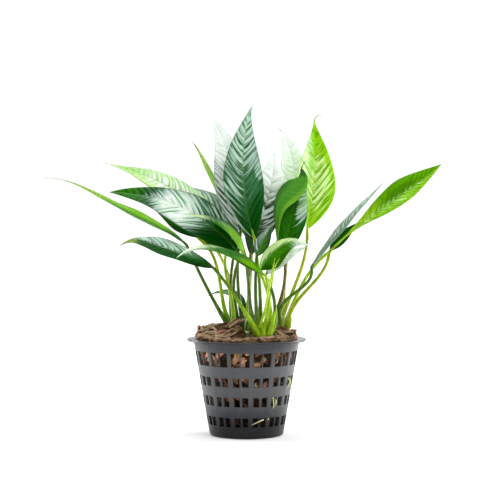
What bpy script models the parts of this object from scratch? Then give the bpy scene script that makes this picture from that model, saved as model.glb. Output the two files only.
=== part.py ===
"""Potted anubias: long-stalked, spear-shaped leaves on short rhizomes, in a slotted pot of dark plastic.

Metres, +Z up. The origin is the centre of the pot's underside, and the plant's front faces -Y.
The leaf and pot dimensions below are in millimetres, and MM turns them into metres.
"""

import math
from typing import NamedTuple

import bmesh
import bpy
from mathutils import Matrix, Vector

MM = 0.001
GAP = 0.3  # clearance between pieces that touch
SEED_STEP = 2.399  # turn between neighbouring lumps of the soil, in radians

# Pot
RIM_RADIUS = 30.0
RIM_THICKNESS = 1.0
POT_HEIGHT = 48.5
WALL_TOP_RADIUS = 26.7
FOOT_RADIUS = 18.7
FOOT_ROUND = 1.3
WALL = 1.2
FLOOR = 1.5
SLOTS_ROUND = 28
SLOT_PITCH = 2 * math.pi / SLOTS_ROUND
PAIR_SHIFT = math.radians(0.9)  # slots stand in pairs, each moved this far towards its partner
POT_TURN = math.radians(-7)
# Each row of slots: lower edge, upper edge, slot width in degrees
SLOT_ROWS = ((5.8, 10.4, 8.2), (16.0, 20.7, 8.2), (26.0, 30.5, 8.2), (36.0, 42.9, 10.0))
DRAIN_SLOTS = 6
DRAIN_SIZE = (2.4, 8.0)
DRAIN_RADIUS = 10.0

# Soil
SOIL_SECTORS = 22
SOIL_RINGS = (6.0, 12.0, 17.0, 21.5)
SOIL_EDGE = 24.6
SOIL_SHOULDER = 46.5
SOIL_LEVEL = 48.6
SOIL_LUMP = 0.8
# Mounds that stand above the rim: x, y, height over the level, spread
MOUNDS = ((-20.0, -4.0, 4.6, 6.0), (-12.0, -8.0, 7.6, 6.0), (-7.0, 13.0, 6.4, 8.0), (8.0, 16.0, 5.2, 7.0),
          (-4.0, -7.0, 7.2, 4.5), (15.5, -3.5, 5.0, 4.0), (20.0, -4.0, 4.5, 4.5), (20.0, 11.0, 5.0, 6.0),
          (8.0, -20.0, 1.6, 7.0))
BED = 47.0  # the rhizomes lie in hollows of the soil, down to this height

# Stalks and leaves
STALK_FOOT_RADIUS = 1.15
STALK_TOP_RADIUS = 0.68
STALK_PIECES = 4
LEAF_THICKNESS = 0.6
LEAF_FOOT_WIDTH = 1.5
LEAF_ROWS = (0.0, 0.06, 0.17, 0.32, 0.49, 0.67, 0.85, 1.0)
LEAF_COLUMNS = (-1.0, -0.5, 0.0, 0.5, 1.0)
LEAF_TIP_WIDTH = 0.5
MARGIN_CURL = 0.12  # how far the margins turn back, as a share of the half width
HOOK_FROM = 0.84  # a hooked tip bends from here on

COLOURS = {
    "pot_plastic": ((0.018, 0.02, 0.022), 0.42),
    "bark_soil": ((0.16, 0.09, 0.05), 0.95),
    "rhizome_skin": ((0.2, 0.24, 0.05), 0.55),
    "root_pale": ((0.62, 0.55, 0.3), 0.6),
    "stalk_green": ((0.16, 0.27, 0.03), 0.4),
    "leaf_dark": ((0.012, 0.11, 0.025), 0.3),
    "leaf_silver": ((0.2, 0.32, 0.25), 0.25),
    "leaf_lime": ((0.2, 0.45, 0.03), 0.35),
}


class Leaf(NamedTuple):
    """One leaf: its stalk's route, then its midrib's, in mm. face is where its upper side looks, at foot and tip."""

    name: str
    skin: str
    stalk: tuple
    midrib: tuple
    width: float
    face: tuple
    tip_face: tuple
    fold: tuple = (12, 12)  # how far the left and right halves rise towards the face, in degrees
    widest: float = 0.38  # where along the midrib the blade is widest
    shoulder: float = 0.85  # over 1 narrows the blade's foot
    taper: float = 1.3  # over 1 draws out its tip
    hook: tuple = (0, 0, 0)  # how far the very tip bends aside


LEAVES = (
    Leaf("tall_front", "leaf_dark", ((7, -6.5, 57), (6.5, -6, 76), (4, -4, 98.5)),
         ((4, -4, 99), (-1.5, -8, 127), (-0.5, -3, 153), (3, 3, 166)), 20.5, (-0.1, -1, 0.25), (-0.1, -1, 0.2),
         taper=1.4),
    Leaf("silver_back", "leaf_silver", ((-2, 1, 58), (-4.5, 6, 80), (-3, 9, 101.5)),
         ((-3, 9, 102), (-7, 12, 125.5), (-12, 14, 148.5), (-18, 17, 160.5)), 18.5,
         (-0.25, -1, 0.25), (-0.3, -1, 0.2), taper=1.15),
    Leaf("olive_edge", "leaf_lime", ((-1, 4.5, 58), (1, 19, 80), (-4.5, 25, 101)),
         ((-5, 25, 101.5), (-15, 27, 126.5), (-28.2, 28, 148.5)), 12, (-1, 0.3, -0.2), (-1, 0.25, -0.3), (24, 24)),
    Leaf("far_left", "leaf_lime", ((-10, -3, 56.5), (-18.8, -2, 72), (-25.8, -1, 86), (-30.2, 0, 95.5)),
         ((-30.5, 0, 96), (-47, -1, 106), (-67, 0, 116), (-85.5, 2, 125.8), (-102.5, 4, 129)), 15,
         (0.4, 0.3, 0.9), (0.4, 0.3, 0.9), (14, 14), 0.36, taper=3.2),
    Leaf("mint_left", "leaf_silver", ((-6.8, -2.2, 57), (-10.1, 0.5, 80), (-10.8, 3.5, 88.5), (-6.3, 8.5, 99)),
         ((-6, 9, 99.5), (-30, 9.5, 118.5), (-51, 12, 130), (-71.5, 15, 136)), 14.5,
         (-0.2, -0.75, 0.65), (-0.2, -0.7, 0.7), widest=0.5, taper=1.7, hook=(-1, 0, 1)),
    Leaf("grey_left", "leaf_silver", ((-7.5, 4.5, 58), (-8, 12, 78), (-4.5, 15.5, 99.5)),
         ((-4.5, 15.5, 100), (-21, 17, 115), (-38.5, 19, 126)), 19, (0, -0.9, 0.5), (0, -0.8, 0.6)),
    Leaf("curled_left", "leaf_dark", ((2.2, -9, 57), (1, -11, 76), (-0.5, -12, 89.5)),
         ((-1, -12, 90), (-12, -14, 105), (-29, -14, 111)), 17, (0.4, -0.3, 0.85), (0.3, -0.2, 0.9), (48, 12)),
    Leaf("broad_left", "leaf_dark", ((-4.3, 1.6, 57), (-6, 0, 80), (-3, -4.7, 90.5)),
         ((-3.5, -5, 91), (-28.5, -3, 112), (-69, 2, 122)), 20.5, (-0.3, -0.8, 0.6), (-0.2, -0.7, 0.7), taper=0.95),
    Leaf("low_left", "leaf_dark", ((4, -13.5, 55), (-3.6, -16, 67.5), (-11.5, -17, 79), (-16, -17, 84.5)),
         ((-16.5, -17, 85), (-34.5, -19, 92.5), (-53, -21, 98), (-62, -22, 98.5)), 13,
         (-0.1, -0.6, 0.8), (-0.3, -0.5, 0.8), widest=0.5, shoulder=0.6, taper=1.2, hook=(-0.5, 0, -3)),
    Leaf("arched_front", "leaf_lime", ((8.5, -13, 55), (11, -19.5, 71), (9.5, -22, 81)),
         ((9, -22, 81.5), (-4.5, -25, 89), (-21, -29, 94.5), (-34, -32, 90)), 14,
         (0.2, -0.45, 0.85), (-0.4, -0.3, 0.85), (26, 14), 0.26, taper=0.9),
    Leaf("arched_right", "leaf_lime", ((12.3, -12, 56), (10.5, -15, 72), (6.5, -17, 83)),
         ((6.5, -17, 83.5), (12.5, -20, 92), (23, -25, 98), (31, -29, 95)), 14,
         (-0.3, -0.5, 0.85), (0.1, -0.25, 0.95), (14, -48), 0.3),
    Leaf("under_right", "leaf_silver", ((14, -8.5, 57), (13.5, -8.5, 70), (9.5, -10, 80.5)),
         ((9.5, -10, 81), (19, -12, 89.5), (30, -14.5, 95)), 11, (-0.3, -0.6, 0.75), (-0.2, -0.6, 0.8)),
    Leaf("folded_right", "leaf_lime", ((9.8, -8.8, 57), (12.5, -6, 78), (15, -5, 96)),
         ((15, -5, 96.5), (15, -6.5, 109.5), (19.7, -6.5, 120.5), (25, -5, 125), (27.5, -2, 134)), 11.5,
         (0.97, 0.2, 0.1), (0.2, 0.9, 0.3), (20, 20), 0.66, 1.2, 0.8),
    Leaf("glossy_right", "leaf_dark", ((12, -5, 57), (19.3, 0.5, 79), (18.8, 3.8, 91)),
         ((18.4, 4, 91.5), (20.4, 2.5, 99), (22.7, 2, 109.5), (25.4, 3, 118.7), (31, 5, 126.7)), 15.5,
         (0.1, -1, 0.2), (0.1, -1, 0.2), widest=0.5, shoulder=0.6, taper=0.9),
    Leaf("narrow_middle", "leaf_silver", ((5.5, -10, 57), (4.5, -11.5, 76), (5, -11, 89.5)),
         ((5, -11, 90), (9, -11, 98), (13, -10, 106)), 9, (-0.5, -0.8, 0.2), (-0.5, -0.8, 0.2), (20, 20)),
    Leaf("silver_right", "leaf_silver", ((3.3, -5, 58), (1, 0, 75), (2, 3, 89.5)),
         ((2, 3, 90), (9.5, 6, 115.5), (13.3, 8.5, 132), (14, 10, 142)), 18.5, (0, -1, 0.2), (0.1, -1, 0.2),
         widest=0.45, taper=0.85),
    Leaf("pale_back", "leaf_silver", ((14.8, 5.4, 58), (19.7, 12, 79), (20, 16, 99)),
         ((20, 16, 99.5), (24.5, 19, 123), (22, 21, 144), (16.5, 24, 155.5)), 17.5, (0.1, -1, 0.2), (0, -1, 0.2)),
    Leaf("lime_right", "leaf_lime", ((18, 3.8, 58.5), (25.2, 10, 76), (30.3, 14, 92.5), (31, 14, 102.5)),
         ((31, 14, 103), (34.2, 12.5, 131), (34.3, 9, 158.5)), 25, (0.5, -0.9, 0.15), (0.4, -0.9, 0.1), (18, 18)),
    Leaf("far_right", "leaf_lime", ((20.6, 0.8, 57), (31.4, 0, 74), (39.6, -2, 85), (41.5, -2, 91.5)),
         ((41.5, -2, 92), (61.5, -4, 109.5), (78.5, -6, 122), (97, -8, 136)), 15,
         (-0.3, -0.8, 0.5), (-0.3, -0.8, 0.5), (20, 24), 0.66, 2.8, 1.1),
    Leaf("short_right", "leaf_dark", ((21, 4.8, 58.5), (28.2, 9, 75), (34.5, 9, 84.5), (41.7, 8, 91.5)),
         ((42, 8, 92), (49, 8, 99.5), (57, 9, 107)), 7, (-0.4, -0.8, 0.4), (-0.4, -0.8, 0.4)),
    Leaf("narrow_right", "leaf_silver", ((17.2, -1.5, 58), (26.6, -6, 73.5), (32, -6, 79.5), (32.5, -6, 84.5)),
         ((32.5, -6, 85), (51, -9, 107.5), (68, -12, 127)), 11, (-0.72, -0.25, 0.6), (-0.72, -0.25, 0.6), (18, 18)),
    Leaf("hidden_left", "leaf_dark", ((-9, 0.5, 57), (-13.3, 2, 76), (-17, 3, 90), (-24, 4, 98.5)),
         ((-24.5, 4, 99), (-38, 5, 111), (-52, 6, 117)), 15, (-0.2, -0.6, 0.8), (-0.2, -0.6, 0.8)),
    Leaf("rear_left", "leaf_dark", ((-5, 7.5, 58), (-9, 22, 78), (-15.5, 34, 91.5)),
         ((-16, 34.5, 92), (-22, 50, 105), (-29, 70, 107)), 18, (-0.2, -0.6, 0.8), (-0.1, 0.1, 1)),
    Leaf("rear_middle", "leaf_dark", ((1, 8, 58), (2, 22, 78), (3, 33.5, 94.5)),
         ((3, 34, 95), (5, 47, 111), (8, 64, 117)), 19, (0, -0.7, 0.7), (0, -0.1, 1)),
    Leaf("rear_right", "leaf_dark", ((18.5, 8, 58), (19.8, 22, 78), (21, 31.5, 97)),
         ((21, 32, 97.5), (25, 45, 113), (31, 62, 121)), 16, (0.1, -0.7, 0.7), (0.2, -0.1, 1)),
)

YOUNG_LEFT = Leaf("left", "leaf_dark", (), ((-2.6, 3.5, 59.5), (-6, 6, 69.9), (-13.5, 5.5, 71.5), (-21.5, 4, 67.9)),
                  5.5, (0.3, -0.8, 0.5), (0.3, -0.7, 0.6), (16, 16), 0.3, taper=2.6)
YOUNG_FRONT_ROUTE = ((6.5, -16.5, 55.3), (10, -23, 69), (12, -25.5, 80), (14, -27, 90))
YOUNG_FRONT_RADII = (0.95, 0.8, 0.95, 0.35)
YOUNG_FRONT_PRONG = ((12.2, -25.6, 81), (14, -26.5, 86), (16.5, -27.2, 90))
YOUNG_FRONT_PRONG_RADII = (0.5, 0.6, 0.3)

# Each rhizome: centre, half length, half width, turn in degrees, and the leaves that grow from it
RHIZOME_HEIGHT = 2.7
RHIZOMES = {
    "left": ((-5.0, 2.5), 9.0, 3.6, 38.0, ("silver_back", "olive_edge", "far_left", "mint_left", "grey_left",
                                           "broad_left", "hidden_left", "rear_left", "rear_middle")),
    "front": ((8.6, -10.4), 5.0, 4.6, 0.0, ("tall_front", "curled_left", "low_left", "arched_front",
                                            "arched_right", "under_right", "folded_right", "glossy_right",
                                            "narrow_middle", "silver_right")),
    "right": ((18.0, 3.2), 5.4, 3.4, 80.0, ("pale_back", "lime_right", "far_right", "short_right",
                                            "narrow_right", "rear_right")),
}
SHEATH_GATHER = 0.58  # how far each sheath's foot stands in from its top, towards the rhizome's middle
SHEATH_FOOT_RADIUS = 2.2
SHEATH_TOP_RADIUS = 1.25
SHEATH_SIDES = 5
BED_FLARE = 0.5

# Root tips that come out of the slots: azimuth from the front, distance off the wall and height, from root to tip
ROOT_RADII = (0.4, 0.38, 0.3, 0.2)
ROOTS = {
    "right": ((66.2, -0.9, 28.8), (65.0, 0.4, 28.6), (61.5, 0.9, 26.2), (58.6, 0.85, 23.4)),
    "middle": ((38.6, -0.8, 19.6), (38.2, -0.1, 18.6), (37.4, 0.8, 16.9), (37.0, 0.85, 14.9)),
    "low": ((25.6, -0.9, 9.6), (22.6, 0.5, 9.6), (15.0, 0.95, 8.6), (7.4, 0.8, 7.1)),
}


def clear_scene():
    for obj in list(bpy.data.objects):
        bpy.data.objects.remove(obj, do_unlink=True)


def new_collection(name, shown):
    collection = bpy.data.collections.new(name)
    collection.hide_render = not shown
    bpy.context.scene.collection.children.link(collection)
    return collection


def material(slot):
    """The slot's material, made at its first use."""
    found = bpy.data.materials.get(slot)
    if found:
        return found
    colour, roughness = COLOURS[slot]
    made = bpy.data.materials.new(slot)
    made.use_nodes = True
    shader = made.node_tree.nodes["Principled BSDF"]
    shader.inputs["Base Color"].default_value = (*colour, 1)
    shader.inputs["Roughness"].default_value = roughness
    shader.inputs["Metallic"].default_value = 0
    made.diffuse_color = (*colour, 1)
    return made


def add_object(name, data, collection, slot=None):
    obj = bpy.data.objects.new(name, data)
    collection.objects.link(obj)
    if slot:
        data.materials.append(material(slot))
    return obj


def mesh_object(name, bm, collection, slot=None, smooth=False):
    """An object from a bmesh in millimetres."""
    bmesh.ops.scale(bm, vec=(MM, MM, MM), verts=bm.verts)
    bmesh.ops.recalc_face_normals(bm, faces=bm.faces)
    mesh = bpy.data.meshes.new(name)
    bm.to_mesh(mesh)
    bm.free()
    if smooth:
        mesh.polygons.foreach_set("use_smooth", [True] * len(mesh.polygons))
    return add_object(name, mesh, collection, slot)


def add_cutter(name, bm, cutters):
    cutter = mesh_object(name, bm, cutters)
    cutter.hide_render = True
    cutter.display_type = "WIRE"
    return cutter


def add_boolean(obj, other, operation):
    modifier = obj.modifiers.new(other.name, "BOOLEAN")
    modifier.operation = operation
    modifier.solver = "EXACT"
    modifier.object = other


def knots(points):
    """How far along the chords each point lies, from 0 to 1."""
    reach = [0.0]
    for before, after in zip(points, points[1:]):
        reach.append(reach[-1] + (Vector(after) - Vector(before)).length)
    return [value / reach[-1] for value in reach]


def on_route(points, t):
    """The point at t, from 0 to 1, of the smooth route through all the points."""
    places = knots(points)
    found = Vector((0, 0, 0))
    for i, point in enumerate(points):
        share = 1.0
        for j, place in enumerate(places):
            if j != i:
                share *= (t - place) / (places[i] - place)
        found += Vector(point) * share
    return found


def along_route(points, t):
    """The route's direction at t."""
    step = 0.01
    return (on_route(points, min(t + step, 1)) - on_route(points, max(t - step, 0))).normalized()


def half_width(leaf, t):
    """Half the blade's width at t: rounded towards the stalk, drawn out to a narrow tip."""
    if t < leaf.widest:
        share = math.sin(math.pi / 2 * t / leaf.widest) ** leaf.shoulder
    else:
        share = max(math.cos(math.pi / 2 * (t - leaf.widest) / (1 - leaf.widest)), 0) ** leaf.taper
    least = LEAF_FOOT_WIDTH + (LEAF_TIP_WIDTH - LEAF_FOOT_WIDTH) * t
    return max(leaf.width * share, least) / 2


def blade_point(leaf, t, s):
    """A point of the blade's middle surface: t along the midrib, s from -1 at the left margin to 1 at the right."""
    along = along_route(leaf.midrib, t)
    face = Vector(leaf.face).lerp(Vector(leaf.tip_face), t)
    up = (face - along * face.dot(along)).normalized()
    side = along.cross(up)
    fold = math.radians(leaf.fold[0] if s < 0 else leaf.fold[1])
    reach = half_width(leaf, t)
    across = side * (s * reach * math.cos(fold))
    rise = up * (reach * (abs(s) * math.sin(fold) - MARGIN_CURL * s * s))
    bend = Vector(leaf.hook) * max((t - HOOK_FROM) / (1 - HOOK_FROM), 0) ** 2
    return on_route(leaf.midrib, t) + across + rise + bend


def build_blade(leaf, name, collection):
    """The blade: rows of points across the midrib, thickened to both sides."""
    bm = bmesh.new()
    rows = [[bm.verts.new(blade_point(leaf, t, s)) for s in LEAF_COLUMNS] for t in LEAF_ROWS]
    for low, high in zip(rows, rows[1:]):
        for i in range(len(LEAF_COLUMNS) - 1):
            bm.faces.new((low[i], low[i + 1], high[i + 1], high[i]))
    blade = mesh_object(name, bm, collection, leaf.skin, smooth=True)
    solidify = blade.modifiers.new("thickness", "SOLIDIFY")
    solidify.thickness = LEAF_THICKNESS * MM
    solidify.offset = 0
    return blade


def tube_mesh(name, points, radii):
    """A round rod along the points, with its ends closed, as a mesh in metres."""
    curve = bpy.data.curves.new(name, "CURVE")
    curve.dimensions = "3D"
    curve.bevel_depth = MM
    curve.bevel_resolution = 1
    curve.use_fill_caps = True
    spline = curve.splines.new("POLY")
    spline.points.add(len(points) - 1)
    for place, point, radius in zip(spline.points, points, radii):
        place.co = (*(Vector(point) * MM), 1)
        place.radius = radius
    holder = bpy.data.objects.new(name, curve)
    bpy.context.scene.collection.objects.link(holder)
    bpy.context.view_layer.update()
    mesh = bpy.data.meshes.new_from_object(holder)
    bpy.data.objects.remove(holder)
    bpy.data.curves.remove(curve)
    bm = bmesh.new()
    bm.from_mesh(mesh)
    bmesh.ops.remove_doubles(bm, verts=bm.verts, dist=0.01 * MM)
    bmesh.ops.recalc_face_normals(bm, faces=bm.faces)
    bm.to_mesh(mesh)
    bm.free()
    mesh.name = name
    mesh.polygons.foreach_set("use_smooth", [True] * len(mesh.polygons))
    return mesh


def build_stalk(leaf, collection):
    """The leaf's stalk, thicker at its foot, which stops GAP short of the sheath below and the blade above."""
    steps = [i / STALK_PIECES for i in range(STALK_PIECES + 1)]
    points = [on_route(leaf.stalk, t) for t in steps]
    points[0] += along_route(leaf.stalk, 0) * GAP
    radii = [STALK_FOOT_RADIUS + (STALK_TOP_RADIUS - STALK_FOOT_RADIUS) * t for t in steps]
    return add_object(f"stalk_{leaf.name}", tube_mesh("stalk", points, radii), collection, "stalk_green")


def build_young_front(collection, cutters):
    """The young leaf in front, still rolled, with its sheath's tip beside it."""
    steps = [i / 6 for i in range(7)]
    points = [on_route(YOUNG_FRONT_ROUTE, t) for t in steps]
    radii = [on_route([(r, 0, t * 30) for t, r in zip(knots(YOUNG_FRONT_ROUTE), YOUNG_FRONT_RADII)], t).x
             for t in steps]
    young = add_object("young_leaf_front", tube_mesh("young", points, radii), collection, "leaf_lime")
    prong = add_object("prong", tube_mesh("prong", YOUNG_FRONT_PRONG, YOUNG_FRONT_PRONG_RADII), cutters)
    prong.hide_render = True
    prong.display_type = "WIRE"
    add_boolean(young, prong, "UNION")


def cone_between(bm, foot, top, foot_radius, top_radius):
    """A closed tapered rod from foot to top."""
    axis = Vector(top) - Vector(foot)
    turn = Vector((0, 0, 1)).rotation_difference(axis).to_matrix().to_4x4()
    place = Matrix.Translation((Vector(foot) + Vector(top)) / 2) @ turn
    bmesh.ops.create_cone(bm, cap_ends=True, segments=SHEATH_SIDES, radius1=foot_radius,
                          radius2=top_radius, depth=axis.length, matrix=place)


def build_rhizome(name, collection, cutters):
    """A short creeping rhizome with the clasping foot of each stalk that grows from it."""
    (x, y), half_length, half_wide, turn, grown = RHIZOMES[name]
    centre = Vector((x, y, BED + GAP + RHIZOME_HEIGHT))
    place = Matrix.Translation(centre) @ Matrix.Rotation(math.radians(turn), 4, "Z")
    bm = bmesh.new()
    bmesh.ops.create_uvsphere(bm, u_segments=8, v_segments=5, radius=1,
                              matrix=place @ Matrix.Diagonal((half_length, half_wide, RHIZOME_HEIGHT, 1)))
    rhizome = mesh_object(f"rhizome_{name}", bm, collection, "rhizome_skin", smooth=True)
    for leaf in LEAVES:
        if leaf.name not in grown:
            continue
        along = along_route(leaf.stalk, 0)
        top = Vector(leaf.stalk[0]) - along * GAP
        foot = top.lerp(centre, SHEATH_GATHER)
        foot.z = centre.z - 0.5
        bm = bmesh.new()
        cone_between(bm, foot, top, SHEATH_FOOT_RADIUS, SHEATH_TOP_RADIUS)
        sheath = add_cutter(f"sheath_{leaf.name}", bm, cutters)
        add_boolean(rhizome, sheath, "UNION")
    return rhizome


def wall_radius(z):
    """The pot wall's outer radius at a height."""
    share = (z - FOOT_ROUND) / (POT_HEIGHT - RIM_THICKNESS - FOOT_ROUND)
    return FOOT_RADIUS + (WALL_TOP_RADIUS - FOOT_RADIUS) * share


def build_pot(collection, cutters):
    """The pot: a turned wall with a flat rim, cut by four rows of slots in pairs and by drain slots in its floor."""
    rim_under = POT_HEIGHT - RIM_THICKNESS
    profile = (
        (0, FLOOR),
        (wall_radius(FLOOR) - WALL, FLOOR),
        (WALL_TOP_RADIUS - WALL, POT_HEIGHT),
        (RIM_RADIUS, POT_HEIGHT),
        (RIM_RADIUS, rim_under),
        (WALL_TOP_RADIUS, rim_under),
        (FOOT_RADIUS, FOOT_ROUND),
        (FOOT_RADIUS - FOOT_ROUND, 0),
        (0, 0),
    )
    mesh = bpy.data.meshes.new("pot")
    points = [(r * MM, 0, z * MM) for r, z in profile]
    mesh.from_pydata(points, [(i, i + 1) for i in range(len(points) - 1)], [])
    pot = add_object("pot", mesh, collection, "pot_plastic")
    pot.rotation_euler.z = POT_TURN
    screw = pot.modifiers.new("turned wall", "SCREW")
    screw.steps = screw.render_steps = SLOTS_ROUND
    screw.use_merge_vertices = True
    screw.merge_threshold = 0.00005
    screw.use_smooth_shade = False

    bm = bmesh.new()
    for low, high, degrees in SLOT_ROWS:
        radius = wall_radius((low + high) / 2)
        width = 2 * radius * math.tan(math.radians(degrees / 2))
        for k in range(SLOTS_ROUND):
            towards = PAIR_SHIFT if k % 2 == 0 else -PAIR_SHIFT
            turn = Matrix.Rotation((k + 0.5) * SLOT_PITCH + towards, 4, "Z")
            place = turn @ Matrix.Translation((radius, 0, (low + high) / 2))
            bmesh.ops.create_cube(bm, size=1, matrix=place @ Matrix.Diagonal((8, width, high - low, 1)))
    for k in range(DRAIN_SLOTS):
        turn = Matrix.Rotation(2 * math.pi * (k + 0.5) / DRAIN_SLOTS, 4, "Z")
        place = turn @ Matrix.Translation((DRAIN_RADIUS, 0, 0))
        size = (DRAIN_SIZE[1], DRAIN_SIZE[0], 4 * FLOOR, 1)
        bmesh.ops.create_cube(bm, size=1, matrix=place @ Matrix.Diagonal(size))
    slots = add_cutter("pot_slots", bm, cutters)
    slots.rotation_euler.z = POT_TURN
    add_boolean(pot, slots, "DIFFERENCE")


def soil_height(x, y):
    height = SOIL_LEVEL
    for mound_x, mound_y, rise, spread in MOUNDS:
        away = ((x - mound_x) ** 2 + (y - mound_y) ** 2) / spread ** 2
        height += rise * math.exp(-away)
    return height


def build_soil(collection, cutters):
    """The bark and peat that fill the pot and stand in lumps above its rim, with a bed for each rhizome."""
    foot = FLOOR + GAP
    facet = math.cos(math.pi / SLOTS_ROUND)
    side = [(wall_radius(z) * facet - WALL - 1.5 * GAP, z) for z in (foot, SOIL_SHOULDER)]
    bm = bmesh.new()
    rings = []
    for radius, z in side:
        rings.append([])
        for k in range(SOIL_SECTORS):
            angle = 2 * math.pi * k / SOIL_SECTORS
            rings[-1].append(bm.verts.new((radius * math.cos(angle), radius * math.sin(angle), z)))
    for row, radius in enumerate((SOIL_EDGE,) + SOIL_RINGS[::-1]):
        rings.append([])
        for k in range(SOIL_SECTORS):
            angle = 2 * math.pi * (k + 0.5 * (row % 2)) / SOIL_SECTORS
            x, y = radius * math.cos(angle), radius * math.sin(angle)
            lump = SOIL_LUMP * math.sin(SEED_STEP * (k + 1) * (row + 2))
            rings[-1].append(bm.verts.new((x, y, soil_height(x, y) + lump - (0.6 if row == 0 else 0))))
    for low, high in zip(rings, rings[1:]):
        for k in range(SOIL_SECTORS):
            after = (k + 1) % SOIL_SECTORS
            bm.faces.new((low[k], low[after], high[after], high[k]))
    bm.faces.new(rings[0][::-1])
    bm.faces.new(rings[-1])
    bmesh.ops.triangulate(bm, faces=[f for f in bm.faces if len(f.verts) == 4])
    soil = mesh_object("substrate", bm, collection, "bark_soil")
    for name, ((x, y), half_length, half_wide, turn, _) in RHIZOMES.items():
        bm = bmesh.new()
        place = Matrix.Translation((x, y, BED + 10)) @ Matrix.Rotation(math.radians(turn), 4, "Z")
        room = 2 * GAP
        size = Matrix.Diagonal((half_length + room, half_wide + room, 1, 1))
        bmesh.ops.create_cone(bm, cap_ends=True, segments=12, radius1=1.03, radius2=1.03 + BED_FLARE, depth=20,
                              matrix=place @ size)
        add_boolean(soil, add_cutter(f"bed_{name}", bm, cutters), "DIFFERENCE")


def build_root(name, collection):
    points = []
    for degrees, off, z in ROOTS[name]:
        turn = math.radians(degrees - 90)
        radius = wall_radius(z) + off
        points.append((radius * math.cos(turn), radius * math.sin(turn), z))
    add_object(f"root_{name}", tube_mesh("root", points, ROOT_RADII), collection, "root_pale")


def main():
    clear_scene()
    plant = new_collection("potted_anubias", True)
    cutters = new_collection("cutters", False)
    build_pot(plant, cutters)
    build_soil(plant, cutters)
    for name in RHIZOMES:
        build_rhizome(name, plant, cutters)
    for leaf in LEAVES:
        build_stalk(leaf, plant)
        build_blade(leaf, f"leaf_{leaf.name}", plant)
    build_blade(YOUNG_LEFT, "young_leaf_left", plant)
    build_young_front(plant, cutters)
    for name in ROOTS:
        build_root(name, plant)


main()
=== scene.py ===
"""Potted anubias, as an add-on's operators.

Veined leaves on long stalks, clasping sheaths, and bark in a slotted net pot.
"""

import math
from typing import NamedTuple

import bmesh
import bpy
import numpy as np
from bpy.props import FloatProperty, FloatVectorProperty, IntProperty, PointerProperty
from mathutils import Matrix, Vector, noise


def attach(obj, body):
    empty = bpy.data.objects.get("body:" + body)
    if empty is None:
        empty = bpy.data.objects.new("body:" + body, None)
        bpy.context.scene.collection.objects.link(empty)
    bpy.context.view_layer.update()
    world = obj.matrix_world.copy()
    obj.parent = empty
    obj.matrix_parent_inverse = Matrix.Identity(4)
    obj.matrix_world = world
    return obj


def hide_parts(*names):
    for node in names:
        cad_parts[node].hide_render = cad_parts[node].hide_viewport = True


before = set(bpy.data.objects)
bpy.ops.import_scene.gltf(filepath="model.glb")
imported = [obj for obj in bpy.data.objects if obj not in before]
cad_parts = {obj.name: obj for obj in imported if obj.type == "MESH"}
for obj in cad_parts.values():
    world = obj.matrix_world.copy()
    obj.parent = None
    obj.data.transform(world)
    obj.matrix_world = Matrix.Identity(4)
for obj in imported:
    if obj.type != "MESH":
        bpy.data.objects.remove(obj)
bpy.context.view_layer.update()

bl_info = {
    "name": "Potted anubias",
    "version": (1, 0, 0),
    "blender": (4, 5, 0),
    "location": "3D View > Sidebar > Anubias",
    "description": "Builds a potted anubias piece by piece",
    "category": "Object",
}

MM = 0.001

# Pot, in mm
POT_HEIGHT = 48.5
RIM_THICKNESS = 1.0
WALL_TOP_RADIUS = 26.7
FOOT_RADIUS = 18.7
FOOT_ROUND = 1.3
WALL = 1.2
POT_TURN = -7.0  # degrees
RIB_HALF_TURN = 0.55  # degrees
# The rim's outline: radius and height
RIM_PROFILE = ((25.7, 46.9), (26.62, 46.9), (26.95, 47.25), (27.5, 47.5), (28.9, 47.5), (29.3, 47.35),
               (29.75, 47.4), (29.97, 47.7), (30.0, 48.0), (29.9, 48.3), (29.6, 48.47), (29.2, 48.42),
               (28.6, 48.35), (26.4, 48.5), (25.9, 48.4), (25.65, 48.0))
RIM_STEPS = 168

# Slots in the pot's wall: each row's foot and top in mm, and a slot's half width in degrees
SLOT_ROWS = ((5.8, 10.4, 4.1), (16.0, 20.7, 4.1), (26.0, 30.5, 4.1), (36.0, 42.9, 5.0))
PAIRS_ROUND = 14
PAIR_PITCH = 360 / PAIRS_ROUND
SLOT_CENTRES = (7.33, 18.38)  # degrees from the rib that a pair of slots starts at
SLOT_STATIONS = (-5.0, -4.1, -2.0, 0.0, 2.0, 4.1, 5.0)  # where the wall has points, from a slot's centre
WALL_FOOT_HEIGHTS = (0.0, 0.35, 0.8, 1.3, 3.5)
WALL_TOP_HEIGHTS = (45.0, 46.9)
ABOVE_SLOTS = 2.8  # height of the points in the band over a row of slots

# The pot's floor and its slots for water, in mm
FLOOR_HEIGHTS = (0.25, 1.5)
FLOOR_STEPS = 72
DRAIN_SLOTS = 6
DRAIN_HALF_WIDTH = 1.2
DRAIN_REACH = (6.0, 14.0)
FLOOR_RINGS = (2.5, 4.5, *DRAIN_REACH, 16.0, FOOT_RADIUS - WALL + 0.1)

# Bark, in mm
SOIL_RADIUS_TOP = 24.6
SOIL_LEVEL = 48.6
PEAT_FOOT, PEAT_SHOULDER = 1.9, 47.2  # where the peat's side begins and ends
PEAT_SIDES, PEAT_SIDE_ROWS, PEAT_TOP_ROWS = 150, 46, 44
# Each mound: x, y, how high and how wide it is
MOUNDS = ((-20.0, -4.0, 4.6, 6.0), (-12.0, -8.0, 7.6, 6.0), (-7.0, 13.0, 6.4, 8.0), (8.0, 16.0, 5.2, 7.0),
          (-4.0, -7.0, 7.2, 4.5), (15.5, -3.5, 5.0, 4.0), (20.0, -4.0, 4.5, 4.5), (20.0, 11.0, 5.0, 6.0),
          (8.0, -20.0, 1.6, 7.0))
CHIP_POINTS = 15
SLAB_COLUMNS, SLAB_ROWS = 28, 13
SLAB_THICKNESS = 1.5
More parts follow.
